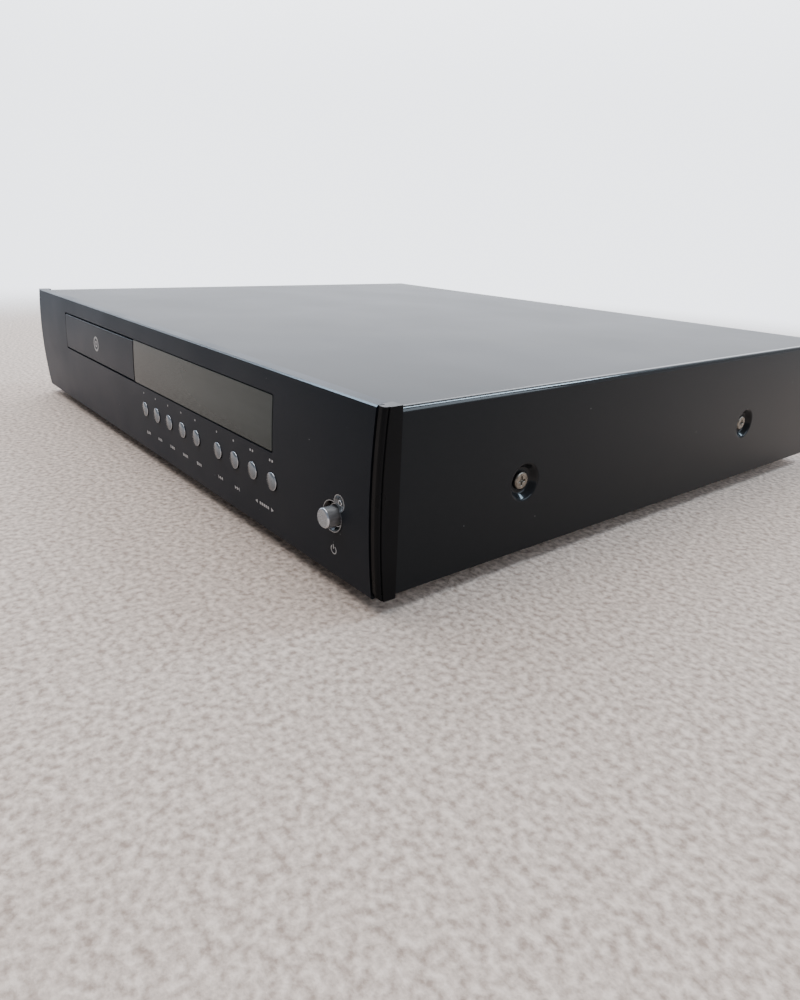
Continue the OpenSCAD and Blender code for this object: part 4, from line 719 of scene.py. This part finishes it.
# Faces are told apart by their unit normals, which point along -Y on the front
CROWN_MATCH = 0.9995  # cosine: this close to the crown's own normal
BEHIND_CROWN = 1 * MM  # faces this far behind the crown aren't part of it
NEAR = 0.05 * MM  # a point that lies on a bead
BEAD_FRONT = 0.02  # a bead looks forward by more than this
BUTTON_FACE = 0.93  # the face of a button or of the knob looks forward by more than this
BUTTON_RIM = 0.2  # and its bevelled rim by more than this
KNOB_SIDE = 0.3  # the knob's side looks forward by less than this
COVER_SHOULDER = 74 * MM  # the cover's bends and top lie above this height
DISH_SLOPE = (0.2, 0.97)  # a dish's sloping wall looks sideways by between these
BEND_SLOPE = 0.08  # a bend looks both up and sideways by more than this
COVER_TOP = 0.9  # the cover's top looks up by more than this
EDGE_BAND = 1.5 * MM  # a front's upper bevel lies this near to its top
EDGE_FORWARD = 0.5  # and looks forward by more than this
EDGE_UP = 0.4  # and up by more than this
BEZEL_FRONT = 0.995  # the bezel's flat rim looks forward by more than this
BEZEL_WALL = 0.2  # and its outer wall by less than this
LED_DISH_R = 3.2 * MM
# The LED's dome and the collar round it: their radii, and how far each is set in
LED_R = 0.8 * MM
LED_DEPTH = 0.75 * MM
COLLAR_R = 0.92 * MM
COLLAR_ROUND = 0.28 * MM
COLLAR_DEPTH = 0.55 * MM


def round_front(piece):
    """Exact shading normals on the crowned front, whose faces are long and thin."""
    mesh = piece.data
    axis_y = FASCIA_EDGE_Y + CROWN_RADIUS - CROWN
    normals = [Vector(corner.vector) for corner in mesh.corner_normals]
    for face in mesh.polygons:
        out = Vector((0, face.center.y - axis_y, face.center.z - MIDDLE_Z))
        if face.normal.dot(out.normalized()) < CROWN_MATCH or out.length < CROWN_RADIUS - BEHIND_CROWN:
            continue
        for loop in face.loop_indices:
            place = mesh.vertices[mesh.loops[loop].vertex_index].co
            normals[loop] = Vector((0, place.y - axis_y, place.z - MIDDLE_Z)).normalized()
    mesh.normals_split_custom_set(normals)


def shade_the_knob(knob):
    """The power button: a coarse grain round its side, a finer one on its face, and paler metal on its
    rim as a painted highlight.
    """
    for finish in ("knob_side", "knob_face", "painted_highlight_rim"):
        knob.data.materials.append(finishes[finish])
    for face in knob.data.polygons:
        if abs(face.normal.y) < KNOB_SIDE:
            face.material_index = 1
        elif face.normal.y < -BUTTON_FACE:
            face.material_index = 2
        elif face.normal.y < 0:
            face.material_index = 3


def shade_the_rim(button):
    """A button's bevelled rim gets paler metal as a painted highlight, and its face is rounder than it
    is deep.
    """
    mesh = button.data
    mesh.materials.append(finishes["painted_highlight_rim"])
    low, high = piece_box(button)
    middle = (low + high) / 2
    normals = [Vector(corner.vector) for corner in mesh.corner_normals]
    for face in mesh.polygons:
        if -BUTTON_FACE < face.normal.y < -BUTTON_RIM:
            face.material_index = 1
        if face.normal.y > -BUTTON_FACE or face.center.y > low.y + DOME_DEPTH:
            continue
        for loop in face.loop_indices:
            out = mesh.vertices[mesh.loops[loop].vertex_index].co - middle
            out.y = 0
            normals[loop] = (Vector((0, -1, 0)) + out * (FACE_ROUNDING / BUTTON_R)).normalized()
    mesh.normals_split_custom_set(normals)


def shade_the_bends(cover):
    """The paint is duller on the cover's top and lies smoother over its bends and in its dishes."""
    for finish in ("bend_black", "top_black", "dish_black"):
        cover.data.materials.append(finishes[finish])
    for face in cover.data.polygons:
        if face.center.z < COVER_SHOULDER:
            if DISH_SLOPE[0] < abs(face.normal.x) < DISH_SLOPE[1]:
                face.material_index = 3
        elif face.normal.z > BEND_SLOPE and abs(face.normal.x) > BEND_SLOPE:
            face.material_index = 1
        elif face.normal.z > COVER_TOP:
            face.material_index = 2


def round_bead(cheek):
    """Exact shading normals on the quarter-round bead of a cheek."""
    mesh = cheek.data
    low, high = piece_box(cheek)
    side = 1 if high.x > 0 else -1
    outer = (high.x if side > 0 else -low.x) - BEAD_STEP - BEAD_ROUND
    axis_y = FASCIA_EDGE_Y + CROWN_RADIUS - CROWN
    ring = CROWN_RADIUS - CHEEK_SETBACK - BEAD_ROUND
    normals = [Vector(corner.vector) for corner in mesh.corner_normals]
    for face in mesh.polygons:
        if face.normal.y > -BEAD_FRONT:
            continue
        for loop in face.loop_indices:
            place = mesh.vertices[mesh.loops[loop].vertex_index].co
            spoke = Vector((0, place.y - axis_y, place.z - MIDDLE_Z))
            across = max(0.0, side * place.x - outer)
            along = spoke.length - ring
            if along > -NEAR and math.hypot(across, along) > BEAD_ROUND - NEAR:
                sideways = Vector((side * across, 0, 0))
                normals[loop] = (spoke.normalized() * along + sideways).normalized()
    mesh.normals_split_custom_set(normals)


def paint_edge_highlight(piece, top):
    """Paler paint along a front's upper bevel, as a painted highlight."""
    piece.data.materials.append(finishes["painted_highlight_edge"])
    for face in piece.data.polygons:
        sloping = face.normal.y < -EDGE_FORWARD and face.normal.z > EDGE_UP
        if sloping and face.center.z > top - EDGE_BAND:
            face.material_index = 1


def shade_the_dishes(bezel):
    """Painted shade in the bezel's dishes: the dish round the knob is darker than its flat rim and than
    the LED's dish, and the LED's dish is darker than the rim too.
    """
    bezel.data.materials.append(finishes["bezel_dish_painted_shade"])
    bezel.data.materials.append(finishes["led_dish_painted_shade"])
    low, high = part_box("led_lens")
    middle = (low + high) / 2
    for face in bezel.data.polygons:
        flat_front = face.normal.y < -BEZEL_FRONT
        outer_wall = abs(face.normal.y) < BEZEL_WALL
        off_led = math.hypot(face.center.x - middle.x, face.center.z - middle.z)
        if not flat_front and not outer_wall:
            face.material_index = 2 if off_led < LED_DISH_R else 1


def make_led_front():
    """The LED's domed end and the collar that holds it, in the bezel's small dish; the collar's pale
    metal is a painted highlight ring round the dome.
    """
    low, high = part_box("led_lens")
    middle = (low + high) / 2
    face = fascia_y(middle.z)
    bpy.ops.mesh.primitive_uv_sphere_add(segments=32, ring_count=16, radius=LED_R,
                                         location=(middle.x, face + LED_DEPTH, middle.z))
    dome = bpy.context.object
    dome.name = "led_dome"
    bpy.ops.object.transform_apply(location=True, rotation=True, scale=True)
    smooth(dome, ROUND_ANGLE)
    added(dome, "led_lens", "led_tint")
    bpy.ops.mesh.primitive_torus_add(major_radius=COLLAR_R, minor_radius=COLLAR_ROUND,
                                     major_segments=40, minor_segments=14,
                                     location=(middle.x, face + COLLAR_DEPTH, middle.z),
                                     rotation=(math.pi / 2, 0, 0))
    collar = bpy.context.object
    collar.name = "led_collar"
    bpy.ops.object.transform_apply(location=True, rotation=True, scale=True)
    smooth(collar, ROUND_ANGLE)
    added(collar, "led_lens", "painted_highlight_rim")


# ---------------------------------------------------------------- the inside

BOARD_TOP = 19.3 * MM  # the main board's upper side
CORE_STEP = 2 * MM  # the coil stands this much above the transformer's core
UPWARD = 0.9  # a flat top looks up by more than this
LIFT = 0.1 * MM  # faces this far above a level stand on it
PACKAGE_LIFT = 0.15 * MM
# The chips on the main board: the middle of each, and its size, in millimetres
CHIPS = (
    (-123.0, 66.805, 16),
    (-81.3, 65.405, 12),
    (-117.0, 122.095, 28),
    (-77.3, 119.299, 20),
    (-39.5, 118.819, 22),
)
# A chip's leg, in millimetres: the distance to the next leg, the leg's width, length and
# thickness where it leaves the package, and how it goes down and out to its foot
LEG_PITCH = 1.0
LEGS_FEWER = 3  # a side has this many legs fewer than it is millimetres long
LEG_SIZE = (0.34, 0.7, 0.16)
LEG_HEIGHT = 1.0
LEG_OUT = 0.3
LEG_STEPS = ((0, 0.15, -0.9), (0, 0.5, 0))


def shade_the_chips(board):
    """The packages on a circuit board are black, and the board under them keeps its lacquer."""
    board.data.materials.append(finishes["switch_black"])
    for face in board.data.polygons:
        if face.center.z > BOARD_TOP + PACKAGE_LIFT:
            face.material_index = 1


def make_legs(name, x, y, size):
    """The bent legs round one chip: a leg is shaped and repeated, and its row copied to each side."""
    count = size - LEGS_FEWER
    start = Vector((x - LEG_PITCH * (count - 1) / 2, y + size / 2 + LEG_OUT, LEG_HEIGHT)) * MM
    start.z += BOARD_TOP
    bpy.ops.object.select_all(action="DESELECT")
    bpy.ops.mesh.primitive_cube_add(size=1, location=start)
    row = bpy.context.object
    row.scale = Vector(LEG_SIZE) * MM
    bpy.ops.object.transform_apply(location=True, rotation=True, scale=True)
    bpy.ops.object.mode_set(mode="EDIT")
    bpy.ops.mesh.select_mode(type="FACE")
    bpy.ops.mesh.select_all(action="DESELECT")
    bpy.ops.object.mode_set(mode="OBJECT")
    for face in row.data.polygons:
        face.select = face.normal.y > UPWARD
    bpy.ops.object.mode_set(mode="EDIT")
    for step in LEG_STEPS:
        bpy.ops.mesh.extrude_region_move(TRANSFORM_OT_translate={"value": Vector(step) * MM})
    bpy.ops.object.mode_set(mode="OBJECT")
    repeat = row.modifiers.new("row_of_legs", "ARRAY")
    repeat.count = count
    repeat.use_relative_offset = False
    repeat.use_constant_offset = True
    repeat.constant_offset_displace = (LEG_PITCH * MM, 0, 0)
    bpy.ops.object.modifier_apply(modifier=repeat.name)
    middle = Matrix.Translation((x * MM, y * MM, 0))
    for side in (1, 2, 3):
        other = row.copy()
        other.data = row.data.copy()
        quarter_turns = Matrix.Rotation(side * math.pi / 2, 4, "Z")
        other.data.transform(middle @ quarter_turns @ middle.inverted())
        bpy.context.scene.collection.objects.link(other)
        other.select_set(True)
    bpy.ops.object.join()
    row.name = name
    added(row, "main_board", "shell_plate")


def shade_the_coil(transformer):
    """The wound coil that stands above the core is wrapped in yellow tape."""
    transformer.data.materials.append(finishes["coil_tape"])
    core_top = piece_box(transformer)[1].z - CORE_STEP
    for face in transformer.data.polygons:
        if face.center.z > core_top + LIFT:
            face.material_index = 1


def shade_the_cans(cans):
    """The tops of the capacitors are bare aluminium above their sleeves."""
    cans.data.materials.append(finishes["heatsink_alu"])
    for face in cans.data.polygons:
        if face.normal.z > UPWARD:
            face.material_index = 1


# Nodes that need softened edges only: the bevel's width in millimetres, and its segments
PLAIN_OUTSIDE = (
    ("cover_screws", 0.3, 3),
    ("chassis_screws", 0.1, 3),
    ("feet", 0.4, 3),
    ("foot_pads", 0.2, 3),
    ("rear_panel", 0.06, 2),
    ("chassis_base", 0.1, 2),
    ("phono_sockets", 0.15, 3),
    ("phono_inserts", 0.12, 3),
    ("iec_inlet", 0.25, 3),
    ("iec_pins", 0.2, 3),
    ("scart_socket", 0.2, 3),
    ("hdmi_socket", 0.15, 3),
    ("disc_tray", 0.25, 3),
)
PLAIN_INSIDE = (
    ("heatsink", 0.15, 3),
    ("clamp_bridge", 0.2, 3),
    ("clamp_puck", 0.25, 3),
    ("turntable", 0.2, 3),
    ("laser_sled", 0.2, 3),
    ("loader_frame", 0.2, 3),
    ("spindle_motor", 0.3, 3),
    ("loading_motor", 0.3, 3),
    ("feed_motor", 0.3, 3),
)


def dress_outside():
    """The pieces that show; a bevel of 0 keeps the edges that the CAD drew."""
    fascia = dressed("fascia", 0)
    round_front(fascia)
    paint_edge_highlight(fascia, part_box("fascia")[1].z)
    round_bead(dressed("cheek_left", 0))
    round_bead(dressed("cheek_right", 0))
    shade_the_bends(dressed("top_cover", 0))
    door = dressed("tray_door", 0)
    round_front(door)
    paint_edge_highlight(door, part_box("tray_door")[1].z)
    round_front(dressed("display_window", 0.3))
    shade_the_knob(dressed("power_button", 0.12))
    shade_the_dishes(dressed("power_bezel", 0.1))
    dressed("led_lens", 0.12)
    make_led_front()
    for node, edge, segments in PLAIN_OUTSIDE:
        dressed(node, edge, segments)
    for i in range(1, len(BUTTON_XS) + 1):
        shade_the_rim(dressed(f"button_{i}", 0.12))


def dress_inside():
    """The boards and the mechanism."""
    shade_the_chips(dressed("main_board", 0.1))
    shade_the_cans(dressed("capacitors", 0.4))
    for i, (x, y, size) in enumerate(CHIPS):
        make_legs(f"chip_legs_{i + 1}", x, y, size)
    shade_the_coil(dressed("transformer", 0.4))
    for node, edge, segments in PLAIN_INSIDE:
        dressed(node, edge, segments)


# ---------------------------------------------------------------- the whole

make_camera()
make_world()
make_lights()
make_floor()
finishes = make_finishes()
for node, cad in nodes.items():
    cad.data.materials.clear()
    cad.data.materials.append(finishes[slot_of_node[node]])
dress_outside()
dress_inside()
make_marks()
make_rear_marks()
